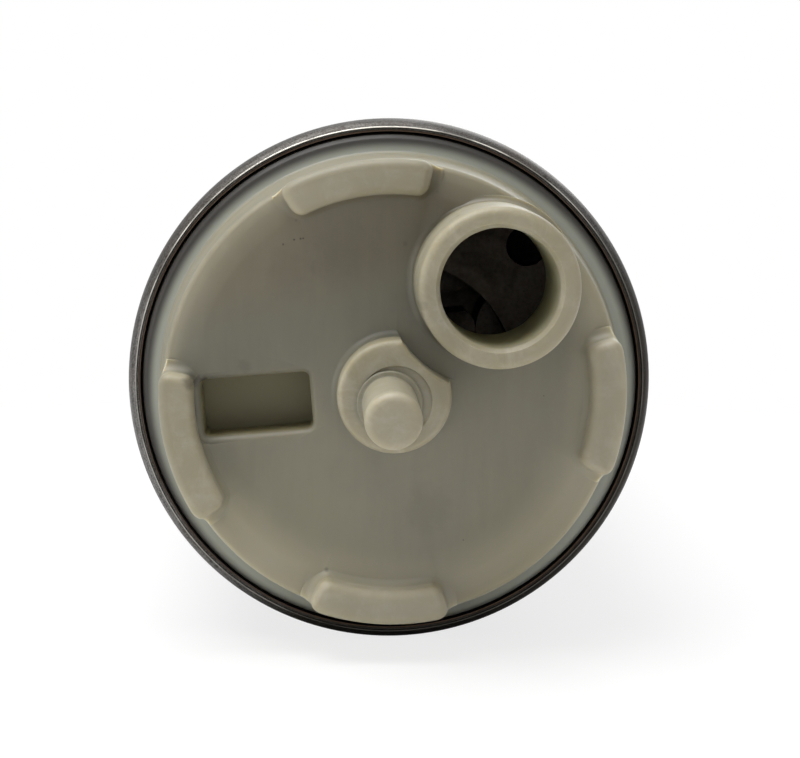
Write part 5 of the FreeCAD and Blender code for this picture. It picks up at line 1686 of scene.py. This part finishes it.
@dataclass
class Studio:
    """White floor and backdrop, soft lamps and the photograph's camera.

    The camera is set by the photograph: rim is pixels to the millimetre at the lip's plane, distance
    its millimetres from that plane, and rim_place the lip's centre right and up of the picture's.
    """

    rim: float = 13.775
    distance: float = 160.0
    frame_width: float = 800.0
    sensor: float = 36.0
    floor_z: float = -19.05
    shadow: Band = (0.05, 0.11)
    paper_white: float = 0.78
    sheen: float = 0.4
    room_light: float = 0.28
    floor_size: float = 6.0
    lens_reach: Band = (0.005, 20.0)
    right: Spot = (0.9995, -0.0324, 0.0036)
    up: Spot = (0.0, 0.1110, 0.9938)
    ahead: Spot = (0.0326, 0.9933, -0.1110)
    rim_place: Point = (-0.711, -0.218)
    lamps: tuple[Lamp, ...] = (Lamp("key_lamp", (-0.12, -0.09, 0.42), (0.0, -0.03, 0.0), 0.34, 2.7),
                               Lamp("fill_lamp", (-0.40, -0.20, 0.02), (0.0, -0.03, 0.0), 0.30, 0.5),
                               Lamp("back_lamp", (0.20, 0.46, 0.34), (0.0, 0.03, 0.0), 0.34, 1.2))

    def make(self) -> None:
        """Builds the studio."""
        self._camera()
        self._floor()
        self._sky()
        for lamp in self.lamps:
            self._hang(lamp)

    def _camera(self) -> None:
        """The camera at the photograph's place, from the rim's image."""
        right, up, ahead = Vector(self.right), Vector(self.up), Vector(self.ahead)
        rim = Vector((0.0, RIM_Y, 0.0))
        place = rim - right * self.rim_place[0] - up * self.rim_place[1] - ahead * self.distance
        lens = bpy.data.cameras.new("photo_camera")
        lens.sensor_width = self.sensor
        lens.lens = self.rim * self.distance * self.sensor / self.frame_width
        lens.clip_start, lens.clip_end = self.lens_reach
        camera = bpy.data.objects.new("photo_camera", lens)
        bpy.context.scene.collection.objects.link(camera)
        turn = Matrix((right, up, -ahead)).transposed().to_4x4()
        camera.matrix_world = Matrix.Translation(place * MM) @ turn
        bpy.context.scene.camera = camera

    def _floor(self) -> None:
        """A wide white floor, curved up behind as paper is."""
        Bench.clear()
        bpy.ops.mesh.primitive_plane_add(size=self.floor_size, location=(0.0, 0.0, self.floor_z * MM))
        floor = bpy.context.object
        floor.name = "floor"
        bpy.ops.object.transform_apply(location=True, rotation=True, scale=True)
        floor.data.materials.append(self._paper())
        Bench.clear()

    def _paper(self) -> Material:
        """White paper that keeps a shadow near the pump and is plain white further off.

        Returns:
            The material.
        """
        recipe = Recipe("white_paper")
        grain = recipe.noise(900, 3)
        recipe.dress(Base_Color=(0.9, 0.9, 0.9), Roughness=0.85 + grain * 0.1, Specular_IOR_Level=0.1)
        x, y, _ = recipe.split()
        away = recipe.fall(recipe.span(x, y), *self.shadow)
        away = away * (1 - self.paper_white) + self.paper_white
        seen = recipe.node("ShaderNodeLightPath")
        white = recipe.node("ShaderNodeEmission", Color=WHITE, Strength=1.0)["Emission"]
        blend = recipe.node("ShaderNodeMixShader", s0=away * seen["Is Camera Ray"],
                            s1=Wire(recipe, recipe.shader.outputs["BSDF"]), s2=white)["Shader"]
        recipe.plug(recipe.graph.nodes["Material Output"].inputs["Surface"], blend)
        return recipe.material

    def _sky(self) -> None:
        """A soft room that looks white to the camera and in reflections."""
        world = bpy.data.worlds.new("studio_room")
        world.use_nodes = True
        bpy.context.scene.world = world
        world.node_tree.nodes.clear()
        tree = Tree(world.node_tree)
        ray = tree.node("ShaderNodeLightPath")
        seen = ray["Is Camera Ray"]
        for kind in ("Is Glossy Ray", "Is Transmission Ray"):
            seen = tree.maths("MAXIMUM", seen, ray[kind])
        room, white = (tree.node("ShaderNodeBackground", Color=WHITE, Strength=strength)["Background"]
                       for strength in (self.room_light, 1.0))
        blend = tree.node("ShaderNodeMixShader", s0=seen, s1=room, s2=white)["Shader"]
        tree.node("ShaderNodeOutputWorld", Surface=blend)

    def _hang(self, lamp: Lamp) -> None:
        """Hangs a lamp and points it at its target.

        Args:
            lamp: The lamp.
        """
        light = bpy.data.lights.new(lamp.name, "AREA")
        light.size = lamp.side
        light.energy = lamp.power
        light.specular_factor = self.sheen
        stand = bpy.data.objects.new(lamp.name, light)
        bpy.context.scene.collection.objects.link(stand)
        stand.location = lamp.place
        stand.rotation_euler = (Vector(lamp.place) - Vector(lamp.target)).to_track_quat("Z", "Y").to_euler()


FINISHES = {
    "cap_plastic": MouldedPlastic(
        linear(151, 145, 126), linear(140, 134, 111), linear(102, 100, 86), linear(44, 38, 28),
        # The inlet end's wear also carries painted shade and light.
        InletWearAndPaintedLight(linear(102, 100, 86), linear(148, 152, 143), linear(44, 38, 28))),
    "holder_plastic": MouldedPlastic(linear(70, 66, 60), linear(52, 49, 45), linear(38, 36, 33),
                                     linear(20, 18, 16), glow=0.05),
    "shell_steel": RolledSteel(linear(122, 120, 118), linear(60, 58, 56), linear(92, 74, 60),
                               # The last colour is the painted highlight along the lip's edge.
                               linear(42, 39, 34), linear(236, 232, 222)),
    "sintered_steel": Metal(linear(120, 112, 102), linear(78, 70, 62), Grain.CAST, 0.55, pits=0.25),
    "ground_steel": Metal(linear(196, 196, 198), linear(150, 150, 152), roughness=0.22, pits=0.1),
    "black_screw": Metal(linear(44, 42, 40), linear(24, 23, 22), Grain.CAST, 0.6),
    "bronze": Metal(linear(176, 132, 82), linear(120, 84, 50), roughness=0.4),
    "copper": CoilWire(linear(190, 98, 56), linear(96, 44, 26)),
    "lamination_steel": Metal(linear(140, 142, 146), linear(86, 86, 90), Grain.DRAWN, 0.42),
    "carbon": Dull(linear(42, 42, 44), linear(74, 74, 76), 0.5),
    "ferrite": Dull(linear(58, 56, 56), linear(92, 88, 84), 0.62),
    "brass_strip": Metal(linear(206, 176, 104), linear(150, 120, 64), Grain.DRAWN, 0.3),
    "spring_steel": Metal(linear(172, 172, 176), linear(112, 112, 116), roughness=0.28),
    "seal_rubber": Dull(linear(34, 34, 34), linear(64, 62, 60), 0.55, 1800),
}


@dataclass
class Palette:
    """Materials by the record's material slot."""

    slots: dict[str, Material] = field(default_factory=dict)

    def make(self) -> "Palette":
        """Builds every finish's material."""
        self.slots = {slot: finish.make(slot + "_look") for slot, finish in FINISHES.items()}
        return self

    def dress_nodes(self) -> None:
        """Gives each CAD node the finish of its slot in the record."""
        slots = node_slots()
        for name, node in frame["nodes"].items():
            finish = self.slots["black_screw" if name == "pump_screws" else slots[name]]
            if not node.data.materials:
                node.data.materials.append(finish)
            for place in node.material_slots:
                place.material = finish
            LOG.info("%s wears %s", name, finish.name)


def main() -> None:
    """Builds the pump and its studio."""
    logging.basicConfig(level=logging.INFO, format="%(message)s")
    bpy.context.scene.view_settings.view_transform = "Standard"
    palette = Palette().make()
    palette.dress_nodes()
    Shell().make(palette.slots["shell_steel"])
    InletCap().make(palette.slots["cap_plastic"])
    OutletCap().make(palette.slots["cap_plastic"])
    Springs().make(palette.slots["spring_steel"])
    Studio().make()


if __name__ == "__main__":
    main()
